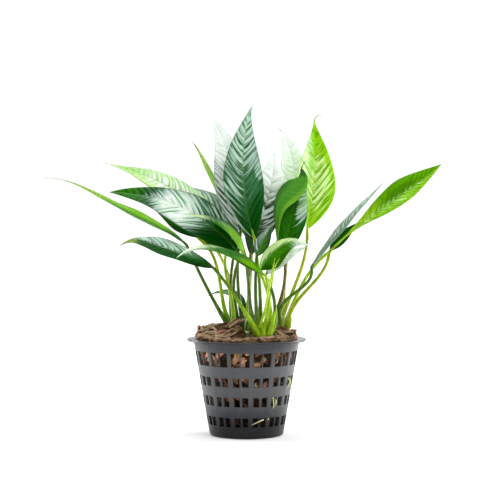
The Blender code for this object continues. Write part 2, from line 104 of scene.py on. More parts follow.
# The slabs at the back and sides, each value drawn between least and most: distance off the axis and turn,
# then lift, yaw, rise and roll, then length, width and how reddish it is
SLAB_SPOT = ((9, 21), (-25, 205))
SLAB_LIE = ((-0.3, 0.4), (0, 360), (-4, 22), (-14, 14))
SLAB_SIZE = ((6, 11), (3.5, 6), (0, 0.6))
# Length, width and thickness of the chips on top and of those behind the slots, drawn in the same way
TOP_CHIP = ((2.2, 5.5), (1.2, 2.6), (0.6, 1.3))
WALL_CHIP = ((3.5, 8.0), (2.6, 5.2), (0.9, 1.8))
TOP_CHIPS_RADIUS = 23.8
WALL_CHIPS_HEIGHT = (4.0, 44.5)

# The slabs in front: x, y, length, width, turn, rise and roll in degrees, lift, and how reddish they are
FRONT_SLABS = (
    (-15.0, -12.5, 14.0, 6.5, 16, 10, 24, -0.3, 0.1), (-18.5, -6.5, 11.0, 6.0, 34, 16, 10, 0.2, 0.0),
    (-8.5, -12.5, 13.0, 5.0, 30, 24, 20, 0.3, 0.15), (-6.0, -8.5, 10.0, 5.0, 40, 18, 0, 0.5, 0.0),
    (-23.2, -4.0, 6.5, 4.2, 70, 50, 0, 0.2, 0.9), (-21.0, -10.0, 8.0, 4.5, -20, 8, 20, -0.2, 0.2),
    (16.0, -12.5, 10.0, 5.0, -18, 10, 15, 0.0, 0.5), (21.0, -7.0, 9.0, 5.0, -44, 18, 10, 0.0, 0.3),
    (11.5, -18.5, 9.5, 4.5, 8, 3, 14, 0.3, 0.4), (1.0, -19.0, 8.5, 4.0, -12, 3, 12, 0.1, 0.0),
    (-7.0, -19.0, 8.0, 4.5, 14, 5, 18, 0.0, 0.1), (23.4, 1.0, 6.0, 4.0, 82, 36, 0, 0.3, 0.6),
    (-12.5, -16.8, 8.5, 4.0, -8, 4, 16, 0.2, 0.3), (18.0, -16.0, 6.0, 3.5, -40, 6, 10, 0.3, 0.7),
)

# Leaves, in mm
BLADE_FOOT_WIDTH, BLADE_TIP_WIDTH = 1.5, 0.2
BLADE_COLUMNS = (0.04, 0.1, 0.18, 0.28, 0.38, 0.48, 0.58, 0.68, 0.78, 0.87, 0.94, 0.98, 1.0)
BLADE_LEAST_ROWS = 40
MARGIN_CURL = 0.12  # of the half width
FOLD_ROUND = 0.05  # of the half width
HOOK_FROM = 0.84
LONG_WAVE, SHORT_WAVE = 6.5, 3.1  # how fast the margins wave along the blade
VEIN_CLIMB, VEIN_BEND = 0.45, 0.85  # how steeply the lateral veins leave the midrib, and bend to the tip
PLAIN_TIP = {"leaf_silver": (0.45, 0.85), "leaf_dark": (0.9, 1.0), "leaf_lime": (0.9, 1.0)}
GROOVE_DEPTH, GROOVE_REACH = 0.32, 0.45  # the sunken midrib on top
RIB_HEIGHT, RIB_TIP_HEIGHT, RIB_REACH = 0.62, 0.12, 0.75  # the raised midrib beneath
TAIL_ROWS, TAIL_SIDES = 16, 10
STALK_FOOT_RADIUS = 1.035
STALK_TOP_RADIUS = 0.68
STALK_ROWS = 40
# Where the stalk goes on under the midrib, and how thick it is there
RUN_PLACES, RUN_RADII = (0.02, 0.04, 0.07), (0.62, 0.5, 0.3)


class Leaf(NamedTuple):
    """One leaf in mm: its stalk's route, then its midrib's. face is where its upper side looks."""

    name: str
    skin: str
    stalk: tuple
    midrib: tuple
    width: float
    face: tuple
    tip_face: tuple
    fold: tuple = (12, 12)  # how far the left and right halves rise towards the face, in degrees
    widest: float = 0.38  # where along the midrib the blade is widest
    shoulder: float = 0.85  # over 1 narrows the blade's foot
    taper: float = 1.3  # over 1 draws out its tip
    hook: tuple = (0, 0, 0)  # how far the very tip bends aside


LEAVES = (
    Leaf("tall_front", "leaf_dark", ((7, -6.5, 57), (6.5, -6, 76), (4, -4, 98.5)),
         ((4, -4, 99), (-1.5, -8, 127), (-0.5, -3, 153), (3, 3, 166)), 20.5, (-0.1, -1, 0.25),
         (-0.1, -1, 0.2), taper=1.4),
    Leaf("silver_back", "leaf_silver", ((-2, 1, 58), (-4.5, 6, 80), (-3, 9, 101.5)),
         ((-3, 9, 102), (-7, 12, 125.5), (-12, 14, 148.5), (-18, 17, 160.5)), 18.5, (-0.25, -1, 0.25),
         (-0.3, -1, 0.2), taper=1.15),
    Leaf("olive_edge", "leaf_lime", ((-1, 4.5, 58), (1, 19, 80), (-4.5, 25, 101)),
         ((-5, 25, 101.5), (-15, 27, 126.5), (-28.2, 28, 148.5)), 12, (-1, 0.3, -0.2), (-1, 0.25, -0.3),
         (24, 24)),
    Leaf("far_left", "leaf_lime", ((-10, -3, 56.5), (-18.8, -2, 72), (-25.8, -1, 86), (-30.2, 0, 95.5)),
         ((-30.5, 0, 96), (-47, -1, 106), (-67, 0, 116), (-85.5, 2, 125.8), (-102.5, 4, 129)), 15,
         (0.4, 0.3, 0.9), (0.4, 0.3, 0.9), (14, 14), 0.36, taper=3.2),
    Leaf("mint_left", "leaf_silver", ((-6.8, -2.2, 57), (-10.1, 0.5, 80), (-10.8, 3.5, 88.5),
         (-6.3, 8.5, 99)), ((-6, 9, 99.5), (-30, 9.5, 118.5), (-51, 12, 130), (-71.5, 15, 136)), 14.5,
         (-0.2, -0.75, 0.65), (-0.2, -0.7, 0.7), widest=0.5, taper=1.7, hook=(-1, 0, 1)),
    Leaf("grey_left", "leaf_silver", ((-7.5, 4.5, 58), (-8, 12, 78), (-4.5, 15.5, 99.5)),
         ((-4.5, 15.5, 100), (-21, 17, 115), (-38.5, 19, 126)), 19, (0, -0.9, 0.5), (0, -0.8, 0.6)),
    Leaf("curled_left", "leaf_dark", ((2.2, -9, 57), (1, -11, 76), (-0.5, -12, 89.5)),
         ((-1, -12, 90), (-12, -14, 105), (-29, -14, 111)), 17, (0.4, -0.3, 0.85), (0.3, -0.2, 0.9),
         (48, 12)),
    Leaf("broad_left", "leaf_dark", ((-4.3, 1.6, 57), (-6, 0, 80), (-3, -4.7, 90.5)),
         ((-3.5, -5, 91), (-28.5, -3, 112), (-69, 2, 122)), 20.5, (-0.3, -0.8, 0.6), (-0.2, -0.7, 0.7),
         taper=0.95),
    Leaf("low_left", "leaf_dark", ((4, -13.5, 55), (-3.6, -16, 67.5), (-11.5, -17, 79), (-16, -17, 84.5)),
         ((-16.5, -17, 85), (-34.5, -19, 92.5), (-53, -21, 98), (-62, -22, 98.5)), 13, (-0.1, -0.6, 0.8),
         (-0.3, -0.5, 0.8), widest=0.5, shoulder=0.6, taper=1.2, hook=(-0.5, 0, -3)),
    Leaf("arched_front", "leaf_lime", ((8.5, -13, 55), (11, -19.5, 71), (9.5, -22, 81)),
         ((9, -22, 81.5), (-4.5, -25, 89), (-21, -29, 94.5), (-34, -32, 90)), 14, (0.2, -0.45, 0.85),
         (-0.4, -0.3, 0.85), (26, 14), 0.26, taper=0.9),
    Leaf("arched_right", "leaf_lime", ((12.3, -12, 56), (10.5, -15, 72), (6.5, -17, 83)),
         ((6.5, -17, 83.5), (12.5, -20, 92), (23, -25, 98), (31, -29, 95)), 14, (-0.3, -0.5, 0.85),
         (0.1, -0.25, 0.95), (14, -48), 0.3),
    Leaf("under_right", "leaf_silver", ((14, -8.5, 57), (13.5, -8.5, 70), (9.5, -10, 80.5)),
         ((9.5, -10, 81), (19, -12, 89.5), (30, -14.5, 95)), 11, (-0.3, -0.6, 0.75), (-0.2, -0.6, 0.8)),
    Leaf("folded_right", "leaf_lime", ((9.8, -8.8, 57), (12.5, -6, 78), (15, -5, 96)),
         ((15, -5, 96.5), (15, -6.5, 109.5), (19.7, -6.5, 120.5), (25, -5, 125), (27.5, -2, 134)), 11.5,
         (0.97, 0.2, 0.1), (0.2, 0.9, 0.3), (20, 20), 0.66, 1.2, 0.8),
    Leaf("glossy_right", "leaf_dark", ((12, -5, 57), (19.3, 0.5, 79), (18.8, 3.8, 91)),
         ((18.4, 4, 91.5), (20.4, 2.5, 99), (22.7, 2, 109.5), (25.4, 3, 118.7), (31, 5, 126.7)), 15.5,
         (0.1, -1, 0.2), (0.1, -1, 0.2), widest=0.5, shoulder=0.6, taper=0.9),
    Leaf("narrow_middle", "leaf_silver", ((5.5, -10, 57), (4.5, -11.5, 76), (5, -11, 89.5)),
         ((5, -11, 90), (9, -11, 98), (13, -10, 106)), 9, (-0.5, -0.8, 0.2), (-0.5, -0.8, 0.2), (20, 20)),
    Leaf("silver_right", "leaf_silver", ((3.3, -5, 58), (1, 0, 75), (2, 3, 89.5)),
         ((2, 3, 90), (9.5, 6, 115.5), (13.3, 8.5, 132), (14, 10, 142)), 18.5, (0, -1, 0.2),
         (0.1, -1, 0.2), widest=0.45, taper=0.85),
    Leaf("pale_back", "leaf_silver", ((14.8, 5.4, 58), (19.7, 12, 79), (20, 16, 99)),
         ((20, 16, 99.5), (24.5, 19, 123), (22, 21, 144), (16.5, 24, 155.5)), 17.5, (0.1, -1, 0.2),
         (0, -1, 0.2)),
    Leaf("lime_right", "leaf_lime", ((18, 3.8, 58.5), (25.2, 10, 76), (30.3, 14, 92.5), (31, 14, 102.5)),
         ((31, 14, 103), (34.2, 12.5, 131), (34.3, 9, 158.5)), 25, (0.5, -0.9, 0.15), (0.4, -0.9, 0.1),
         (18, 18)),
    Leaf("far_right", "leaf_lime", ((20.6, 0.8, 57), (31.4, 0, 74), (39.6, -2, 85), (41.5, -2, 91.5)),
         ((41.5, -2, 92), (61.5, -4, 109.5), (78.5, -6, 122), (97, -8, 136)), 15, (-0.3, -0.8, 0.5),
         (-0.3, -0.8, 0.5), (20, 24), 0.66, 2.8, 1.1),
    Leaf("short_right", "leaf_dark", ((21, 4.8, 58.5), (28.2, 9, 75), (34.5, 9, 84.5), (41.7, 8, 91.5)),
         ((42, 8, 92), (49, 8, 99.5), (57, 9, 107)), 7, (-0.4, -0.8, 0.4), (-0.4, -0.8, 0.4)),
    Leaf("narrow_right", "leaf_silver", ((17.2, -1.5, 58), (26.6, -6, 73.5), (32, -6, 79.5),
         (32.5, -6, 84.5)), ((32.5, -6, 85), (51, -9, 107.5), (68, -12, 127)), 11, (-0.72, -0.25, 0.6),
         (-0.72, -0.25, 0.6), (18, 18)),
    Leaf("hidden_left", "leaf_dark", ((-9, 0.5, 57), (-13.3, 2, 76), (-17, 3, 90), (-24, 4, 98.5)),
         ((-24.5, 4, 99), (-38, 5, 111), (-52, 6, 117)), 15, (-0.2, -0.6, 0.8), (-0.2, -0.6, 0.8)),
    Leaf("rear_left", "leaf_dark", ((-5, 7.5, 58), (-9, 22, 78), (-15.5, 34, 91.5)),
         ((-16, 34.5, 92), (-22, 50, 105), (-29, 70, 107)), 18, (-0.2, -0.6, 0.8), (-0.1, 0.1, 1)),
    Leaf("rear_middle", "leaf_dark", ((1, 8, 58), (2, 22, 78), (3, 33.5, 94.5)),
         ((3, 34, 95), (5, 47, 111), (8, 64, 117)), 19, (0, -0.7, 0.7), (0, -0.1, 1)),
    Leaf("rear_right", "leaf_dark", ((18.5, 8, 58), (19.8, 22, 78), (21, 31.5, 97)),
         ((21, 32, 97.5), (25, 45, 113), (31, 62, 121)), 16, (0.1, -0.7, 0.7), (0.2, -0.1, 1)),
)

YOUNG_LEFT = Leaf("left", "leaf_dark", (),
                  ((-2.6, 3.5, 59.5), (-6, 6, 69.9), (-13.5, 5.5, 71.5), (-21.5, 4, 67.9)), 5.5,
                  (0.3, -0.8, 0.5), (0.3, -0.7, 0.6), (16, 16), 0.3, taper=2.6)

# The young leaf that is still rolled and its sheath's tip: route, radii at places along it, rows, sides
# and how flat they are
ROLLED_LEAF = (
    (((6.5, -16.5, 55.3), (10, -23, 69), (12, -25.5, 80), (14, -27, 90)),
     (0, 0.3, 0.62, 0.85, 1), (0.85, 0.66, 0.85, 0.5, 0.08), 40, 16, 0.8),
    (((12.2, -25.6, 81), (14, -26.5, 86), (16.5, -27.2, 90)), (0, 0.5, 1), (0.45, 0.5, 0.06), 16, 12, 0.7),
)

# Each rhizome: centre, half length, half width, turn in degrees, the colour of its sheaths, and the
# leaves that grow from it
RHIZOMES = {
    "left": ((-5.0, 2.5), 9.0, 3.6, 38.0, "stalk_dark", (
        "silver_back", "olive_edge", "far_left", "mint_left", "grey_left", "broad_left", "hidden_left",
        "rear_left", "rear_middle")),
    "front": ((8.6, -10.4), 5.0, 4.6, 0.0, "stalk_lime", (
        "tall_front", "curled_left", "low_left", "arched_front", "arched_right", "under_right",
        "folded_right", "glossy_right", "narrow_middle", "silver_right")),
    "right": ((18.0, 3.2), 5.4, 3.4, 80.0, "stalk_olive", (
        "pale_back", "lime_right", "far_right", "short_right", "narrow_right", "rear_right")),
}
RHIZOME_HEIGHT = 50.0
RHIZOME_ROWS, OLD_SHEATH_ROWS = 26, 20
SHEATH_FOOT_HEIGHT = 49.3
# How thick a clasping sheath is along its way up the stalk
CLASP_PLACES, CLASP_RADII = (0, 0.3, 0.55, 0.8, 1), (1.65, 1.5, 1.22, 1.0, 0.78)
# One old pointed sheath stands at each rhizome: route and radius
OLD_SHEATHS = {
    "front": (((10.5, -13.2, 50.5), (12.8, -13.8, 57.0), (14.9, -13.6, 65.5)), 1.1),
    "left": (((-9.5, -1.6, 51.5), (-12.0, -3.2, 54.0), (-13.4, -3.8, 56.6)), 0.8),
    "right": (((19.6, -0.4, 51.5), (21.4, -1.8, 55.0), (22.6, -2.2, 60.0)), 1.0),
}

# Root tips: each strand's azimuth from the front, distance off the wall and height, from root to tip
ROOTS = {
    "right": (((66.2, -0.9, 28.8), (65.0, 0.4, 28.6), (61.5, 0.9, 26.2), (58.6, 0.85, 23.4)),
              ((69.0, -0.8, 29.6), (68.0, 0.3, 28.0), (65.6, 0.6, 25.6)),
              ((60.4, -0.8, 30.0), (62.0, 0.3, 29.2), (63.4, 0.5, 27.6))),
    "middle": (((38.6, -0.8, 19.6), (38.2, -0.1, 18.6), (37.4, 0.8, 16.9), (37.0, 0.85, 14.9)),
               ((42.6, -0.8, 19.4), (42.0, 0.3, 18.0), (40.0, 0.6, 16.4), (38.0, 0.9, 16.2)),
               ((34.6, -0.8, 20.0), (36.4, 0.2, 20.4), (39.4, 0.2, 19.8))),
    "low": (((25.6, -0.9, 9.6), (22.6, 0.5, 9.6), (15.0, 0.95, 8.6), (7.4, 0.8, 7.1)),
            ((34.0, -0.8, 10.0), (32.0, 0.2, 9.8), (30.4, 0.3, 9.0))),
}

# What each blade is painted with: its ground colour, how deep its quilting is, then soft patches.
# Each patch: colour, middle along the midrib, middle across (-1 to 1), reach along, reach across, strength.
# The colour sheen is a painted reflection, which the lateral veins break into bands; the silver and
# pale_mint patches are painted reflections as well.
PAINT = {
    "tall_front": ("deep", 1.0, (("sea", 0.55, -0.3, 0.4, 0.8, 0.7), ("sea", 0.62, 0.4, 0.32, 0.9, 0.9),
        ("grey_green", 0.97, 0, 0.26, 2, 0.9), ("deep", 0.63, 1, 0.04, 0.3, 0.8),
        ("silver", 0.1, -1, 0.2, 0.14, 0.9), ("sheen", 0.54, -0.7, 0.36, 0.8, 0.6),
        ("sheen", 0.7, 0.2, 0.28, 1.4, 0.7), ("sheen", 0.5, 0.9, 0.1, 0.35, 0.8))),
    "silver_back": ("sea", 0.9, (("silver", 0.98, 0, 0.46, 2, 0.95), ("sheen", 1.0, 0, 0.5, 2, 1.0),
        ("sheen", 0.3, 0, 0.5, 2, 0.76), ("slate", 0.6, -1, 0.5, 0.1, 0.6))),
    "olive_edge": ("olive", 0.3, (("green", 0.4, 0.6, 0.4, 0.6, 0.6), ("burnt", 0.97, 0, 0.08, 2, 0.7),
        ("burnt", 0.5, -1, 0.5, 0.12, 0.5))),
    "far_left": ("green", 0.25, (("olive", 0.85, 0, 0.3, 2, 0.7), ("lime", 0.4, -0.8, 0.5, 0.6, 0.7),
        ("pale_mint", 0.75, 0.6, 0.25, 0.8, 0.5), ("deep", 0, 0, 0.14, 2, 0.8),
        ("grey_green", 0.3, 0.6, 0.3, 0.5, 0.6), ("burnt", 1, 0, 0.03, 2, 0.9))),
    "mint_left": ("mint", 0.3, (("grey_green", 0.1, 0, 0.2, 2, 0.6), ("lime", 0.95, 0, 0.2, 2, 0.5),
        ("green", 0.6, 0.3, 0.4, 1, 0.22), ("sheen", 0.5, 0.1, 0.3, 0.8, 0.62),
        ("yellow_lime", 0.45, -1, 0.4, 0.25, 0.95))),
    "grey_left": ("grey_green", 0.7, (("deep", 0.1, 0.6, 0.25, 0.6, 0.9),
        ("mint", 0.6, -0.4, 0.35, 0.6, 0.5), ("sea", 0.15, 0, 0.3, 2, 0.7),
        ("sheen", 0.5, 0, 0.3, 1, 0.6))),
    "curled_left": ("deep", 0.5, (("green", 0.35, -0.3, 0.35, 0.5, 0.9),
        ("lime", 0.1, -0.4, 0.4, 0.7, 0.9), ("burnt", 0.12, 0.1, 0.08, 0.2, 0.4),
        ("pale_mint", 0.98, 0, 0.24, 2, 0.95), ("sheen", 0.62, -0.6, 0.26, 0.5, 0.66))),
    "broad_left": ("deep", 1.0, (("slate", 0.54, 0, 0.24, 1.4, 0.7),
        ("silver", 0.54, -0.1, 0.15, 1, 0.85), ("sheen", 0.53, -0.1, 0.24, 1.3, 0.78),
        ("green", 0.9, 0, 0.14, 2, 0.4), ("sheen", 0.2, 0.8, 0.2, 0.4, 0.6))),
    "low_left": ("deep", 0.6, (("grey_green", 0.5, 0.7, 0.34, 0.7, 0.5), ("olive", 0.92, 0, 0.1, 2, 0.7),
        ("burnt", 1, 0, 0.05, 2, 0.9), ("sheen", 0.55, 0.7, 0.34, 0.8, 0.78))),
    "arched_front": ("green", 0.6, (("sea", 0.5, 0.6, 0.3, 0.6, 0.6), ("lime", 0.12, 0.2, 0.2, 0.5, 0.6),
        ("silver", 0.95, 0.3, 0.28, 1.2, 0.95), ("deep", 0.35, -0.95, 0.4, 0.4, 0.9),
        ("sheen", 0.7, 0.8, 0.26, 0.6, 0.74))),
    "arched_right": ("green", 0.6, (("deep", 0.35, 0.9, 0.4, 0.3, 0.6), ("deep", 0.1, 0.5, 0.1, 0.3, 0.7),
        ("pale_mint", 0.55, -0.8, 0.6, 0.7, 0.9), ("silver", 0.98, 0, 0.26, 2, 0.95),
        ("sheen", 0.5, -0.5, 0.5, 0.5, 0.72))),
    "under_right": ("grey_green", 0.7, (("silver", 0.6, 0, 0.5, 2, 0.6),
        ("sheen", 0.5, 0, 0.6, 2, 0.66))),
    "folded_right": ("green", 0.25, (("lime", 0.4, -0.9, 0.6, 0.35, 0.4),
        ("deep", 0.3, 0.8, 0.5, 0.4, 0.5), ("deep", 1, 0, 0.08, 2, 0.9))),
    "glossy_right": ("deep", 0.8, (("green", 0.3, 0, 0.3, 1, 0.3), ("mint", 0.75, 0.7, 0.22, 0.5, 0.6),
        ("sheen", 0.66, 0.6, 0.28, 0.5, 0.72), ("lime", 0.4, -1, 0.5, 0.15, 0.7))),
    "narrow_middle": ("deep", 0.8, (("green", 0.3, 0.2, 0.4, 0.5, 0.7),
        ("grey_green", 0.6, -0.7, 0.5, 0.5, 0.6), ("sheen", 0.5, -0.6, 0.5, 0.5, 0.5))),
    "silver_right": ("deep", 1.0, (("silver", 1.0, 0, 0.4, 2, 0.94), ("sheen", 1.0, 0, 0.38, 2, 1.0),
        ("sheen", 0.45, 0, 0.24, 2, 0.64), ("burnt", 1, 0, 0.03, 2, 0.7))),
    "pale_back": ("silver", 0.35, (("slate", 0.35, 0.9, 0.3, 0.25, 0.3), ("sheen", 0.5, 0, 0.9, 2, 1.0),
        ("burnt", 1, 0, 0.05, 2, 1.0))),
    "lime_right": ("lime", 1.0, (("mint", 0.42, -1, 0.6, 0.75, 1.0),
        ("yellow_lime", 0.4, 0.3, 0.35, 0.5, 0.5), ("lime", 0.97, 0.3, 0.16, 2, 1),
        ("sheen", 0.44, 0.3, 0.32, 0.6, 0.66), ("sheen", 0.5, -0.8, 0.4, 0.5, 0.7))),
    "far_right": ("green", 0.5, (("yellow_lime", 0.2, 0, 0.28, 2, 0.95), ("lime", 0.7, 0, 0.5, 2, 0.35),
        ("deep", 0.65, -0.3, 0.15, 0.3, 0.35), ("lime", 0.7, 0.7, 0.35, 0.5, 0.8),
        ("sheen", 0.5, 0.3, 0.4, 0.6, 0.5))),
    "short_right": ("deep", 0.3, ()),
    "narrow_right": ("grey_green", 0.4, (("slate", 0.2, 0, 0.5, 2, 0.6),
        ("sheen", 0.6, -0.5, 0.4, 0.6, 0.55))),
    "hidden_left": ("deep", 0.8, (("green", 0.6, 0, 0.4, 1, 0.5),)),
    "rear_left": ("deep", 0.9, (("sea", 0.6, 0.4, 0.4, 1, 0.6), ("sheen", 0.5, 0.3, 0.3, 0.8, 0.6))),
    "rear_middle": ("deep", 0.9, (("green", 0.4, -0.4, 0.4, 1, 0.5),
        ("sheen", 0.6, -0.4, 0.3, 0.8, 0.6))),
    "rear_right": ("green", 0.9, (("deep", 0.2, 0, 0.3, 2, 0.7), ("lime", 0.7, 0.5, 0.3, 0.6, 0.4))),
    "left": ("grey_green", 0.4, (("deep", 0.0, 0, 0.4, 2, 0.9), ("burnt", 1, 0, 0.25, 2, 0.7))),
}

# Thin tails past the blades' tips: route, radius and colour
TAILS = {
    "lime_right": (((34.3, 9, 157.2), (34.9, 9, 159.6), (36.3, 9, 160.8), (38.2, 9, 160.1)), 0.36, "olive"),
    "folded_right": (((27.2, -2.4, 132.6), (28.2, -2, 135.4), (30.1, -2, 138)), 0.42, "burnt"),
}

# Each stalk's colour at its foot and at its blade
STALK_COLOURS = {
    "tall_front": ("dark", "lime"), "silver_back": ("grey", "grey"), "olive_edge": ("olive", "brown"),
    "far_left": ("dark", "dark"), "mint_left": ("lime", "lime"), "grey_left": ("dark", "brown"),
    "curled_left": ("grey", "grey"), "broad_left": ("dark", "dark"), "low_left": ("lime", "dark"),
    "arched_front": ("lime", "lime"), "arched_right": ("lime", "lime"), "under_right": ("dark", "dark"),
    "folded_right": ("lime", "lime"), "glossy_right": ("brown", "brown"),
    "narrow_middle": ("grey", "dark"), "silver_right": ("dark", "brown"), "pale_back": ("brown", "brown"),
    "lime_right": ("olive", "olive"), "far_right": ("olive", "olive"), "short_right": ("lime", "lime"),
    "narrow_right": ("dark", "dark"), "hidden_left": ("lime", "olive"), "rear_left": ("olive", "olive"),
    "rear_middle": ("dark", "olive"), "rear_right": ("olive", "olive"),
}


class BladeFinish(NamedTuple):
    """How one kind of blade takes the light. wax and margin are names of the leaves' colours; wax is the
    colour of the painted reflection on the vein ridges.
    """

    material: str
    roughness: float
    specular: float
    gloss: tuple  # colour of its reflections
    through: float  # share of the light that comes through it
    wax: str
    margin: str
    # The crease colour below is for painted shade in the creases between the vein ridges
    crease: tuple  # what its ground colour is multiplied by in the creases


BLADE_FINISHES = {
    "leaf_dark": BladeFinish("blade_dark", 0.3, 0.15, (0.2, 1.0, 0.2, 1), 0.06, "mist", "dark_margin",
                             (0.16, 0.4, 0.2)),
    "leaf_silver": BladeFinish("blade_silver", 0.36, 0.4, (1, 1, 1, 1), 0.06, "silver", "slate",
                               (0.2, 0.27, 0.22)),
    "leaf_lime": BladeFinish("blade_lime", 0.4, 0.12, (0.6, 1.0, 0.1, 1), 0.25, "pale_mint", "olive",
                             (0.3, 0.5, 0.2)),
}

# Stage, in metres and degrees
FLOOR_REACH = 12.0
FLOOR_DROP = 0.0002  # keeps the floor clear of the pot's foot
LIGHTS_AIM = (0, 0, 0.09)
# Each light: the setting that holds its power, its place and its size
LIGHTS = (
    ("key", (0.4, -0.5, 0.85), (0.8, 0.6)), ("top", (-0.15, 0.25, 1.0), (0.6, 0.5)),
    ("sides", (-0.62, 0.28, 0.16), (0.4, 0.5)), ("sides", (0.62, 0.28, 0.16), (0.4, 0.5)),
)
CAMERA_PLACE = (0.00177, -0.9, 0.1236)
CAMERA_TILT = 1.95
CAMERA_LENS, CAMERA_SENSOR = 128.95, 36


def linear(*channels):
    """A colour from 0 to 255 a channel, as the shader wants it."""
    return tuple(c / 255 / 12.92 if c <= 10 else ((c / 255 + 0.055) / 1.055) ** 2.4 for c in channels)


def colour_property(name, description, red, green, blue):
    return FloatVectorProperty(name=name, description=description, subtype="COLOR", size=3, min=0, max=1,
                               default=linear(red, green, blue))


def length_property(name, description, default, least, most):
    """A length given in mm."""
    return FloatProperty(name=name, description=description, default=default * MM, min=least * MM,
                         max=most * MM, unit="LENGTH")


def count_property(name, description, default, least, most):
    return IntProperty(name=name, description=description, default=default, min=least, max=most)


def light_property(name, description, default, unit="NONE"):
    return FloatProperty(name=name, description=description, default=default, min=0, unit=unit)


class AnubiasPot(bpy.types.PropertyGroup):
    plastic: colour_property("Plastic", "The pot's dark plastic", 80, 81, 83)
    scuff: colour_property("Scuffs", "Dust and scuffs on the plastic", 120, 122, 124)
    rib: length_property("Rib height", "How far the mould ribs stand off the wall", 0.07, 0, 0.5)
    edge: length_property("Edge round", "Rounding of the slots' edges", 0.12, 0.02, 0.3)


class AnubiasBark(bpy.types.PropertyGroup):
    brown: colour_property("Bark", "Most of the bark", 140, 107, 78)
    red: colour_property("Red bark", "Fresh reddish bark", 176, 124, 100)
    pale: colour_property("Pale bark", "The bark's cream inner side", 214, 190, 156)
    dark: colour_property("Peat", "Damp peat in the crevices", 18, 12, 8)
    chips: count_property("Chips", "How many small chips lie on top", 200, 20, 900)
    wall_chips: count_property("Chips at the wall", "How many chips show through the slots", 430, 20, 900)
    slabs: count_property("Slabs", "How many bark slabs lie about the back and sides", 26, 0, 80)
    seed: count_property("Seed", "Changes where the chips lie", 7, 0, 999)


class AnubiasLeaves(bpy.types.PropertyGroup):
    deep: colour_property("Deep green", "The dark upper side", 3, 66, 4)
    sea: colour_property("Sea green", "Dark green with a grey cast", 62, 108, 74)
    green: colour_property("Green", "Fresh green", 62, 136, 4)
    lime: colour_property("Lime", "Young, thin blades against the light", 138, 198, 6)
    yellow_lime: colour_property("Yellow lime", "Rolled margins and blade feet", 176, 210, 56)
    mint: colour_property("Mint", "Pale blades that catch the light", 202, 234, 176)
    grey_green: colour_property("Grey green", "Blades with a waxy cast", 136, 166, 144)
    slate: colour_property("Slate", "Dark patches and margins of the silver blades", 84, 108, 98)
    # The silver, mist and pale mint colours are painted reflections of the lights on the glossy blades
    silver: colour_property("Silver", "The palest blades and their wax", 234, 241, 238)
    mist: colour_property("Mist", "The wax on dark blades", 178, 203, 188)
    pale_mint: colour_property("Pale mint", "The wax on lime blades", 220, 243, 178)
    olive: colour_property("Olive", "Tails and edges seen edge on", 140, 164, 70)
    burnt: colour_property("Burnt tip", "Dry brown leaf tips", 70, 62, 52)
    dark_margin: colour_property("Dark margin", "Margins of the dark blades", 18, 63, 22)
    thickness: length_property("Thickness", "The blade's thickness", 0.36, 0.2, 0.6)
    vein_spacing: length_property("Vein spacing", "Distance between veins on a broad blade", 4.1, 1, 10)
    quilting: length_property("Quilting", "How far the blade swells between its lateral veins", 0.5, 0, 1)
    margin_wave: length_property("Margin wave", "How far the margins wave up and down", 0.4, 0, 2)
    row_step: length_property("Row step", "Length of the blade mesh's rows", 0.55, 0.2, 3)


class AnubiasStalks(bpy.types.PropertyGroup):
    stalk_dark: colour_property("Dark stalk", "Dark green stalks", 46, 90, 8)
    stalk_grey: colour_property("Grey stalk", "Stalks with a waxy cast", 70, 98, 44)
    stalk_lime: colour_property("Lime stalk", "Bright young stalks and sheaths", 144, 182, 14)
    stalk_olive: colour_property("Olive stalk", "Olive stalks", 142, 158, 16)
    stalk_brown: colour_property("Brown stalk", "Old brown stalks", 80, 54, 24)
    root: colour_property("Root", "Root tips", 206, 204, 150)
    swelling: FloatProperty(name="Swelling", description="How much a stalk swells below its blade",
                            default=0.22, min=0, max=1, subtype="FACTOR")


class AnubiasStage(bpy.types.PropertyGroup):
    floor: colour_property("Floor", "The plain pale floor", 210, 210, 210)
    glow: light_property("Floor glow", "Light from the far part of the floor", 0.75)
    front: light_property("Front", "Light from the surroundings in front", 0.42)
    back: light_property("Back", "Light from the white surroundings behind", 1.25)
    key: light_property("Key light", "Power of the large soft light", 8, "POWER")
    top: light_property("Top light", "Power of the light above", 4, "POWER")
    sides: light_property("Side lights", "Power of each light at the sides", 9, "POWER")


def palette(name):
    """The colour called name, from whichever group of settings holds it."""
    scene = bpy.context.scene
    for settings in (scene.anubias_leaves, scene.anubias_stalks):
        if hasattr(settings, name):
            return np.array(getattr(settings, name))
    raise KeyError(name)


def fade_colours(first, last, share):
    """Colours that go from the first to the last by name, one for each share from 0 to 1."""
    first, last = palette(first), palette(last)
    return first + (last - first) * np.asarray(share)[:, None]


def on_route(points, t):
    """Points at the places t, from 0 to 1, of the smooth route through all the points."""
    points = np.array(points, float)
    reach = np.concatenate(([0], np.cumsum(np.linalg.norm(np.diff(points, axis=0), axis=1))))
    places = reach / reach[-1]
    found = np.zeros((len(t), points.shape[1]))
    for i, point in enumerate(points):
        share = np.ones(len(t))
        for j, place in enumerate(places):
            if j != i:
                share *= (t - place) / (places[i] - place)
        found += share[:, None] * point
    return found


def unit(vectors):
    return vectors / np.linalg.norm(vectors, axis=-1, keepdims=True)


def along_route(points, t):
    """The route's direction at the places t."""
    return unit(on_route(points, np.minimum(t + 0.01, 1)) - on_route(points, np.maximum(t - 0.01, 0)))


def smooth_step(low, high, value):
    share = np.clip((value - low) / (high - low), 0, 1)
    return share * share * (3 - 2 * share)


def soft_bump(reach, spread):
    """A soft bump: 1 where reach is 0, gone a little past spread."""
    return np.exp(-(reach / spread) ** 2)


def off_axis(radius, turn, z=0.0):
    """A place off the pot's axis, with its turn in radians."""
    return radius * math.cos(turn), radius * math.sin(turn), z


def new_mesh(name, points, faces, smooth=True):
    """A mesh in metres from points in mm."""
    mesh = bpy.data.meshes.new(name)
    mesh.from_pydata((np.asarray(points) * MM).tolist(), [], faces)
    mesh.polygons.foreach_set("use_smooth", [smooth] * len(mesh.polygons))
    return mesh


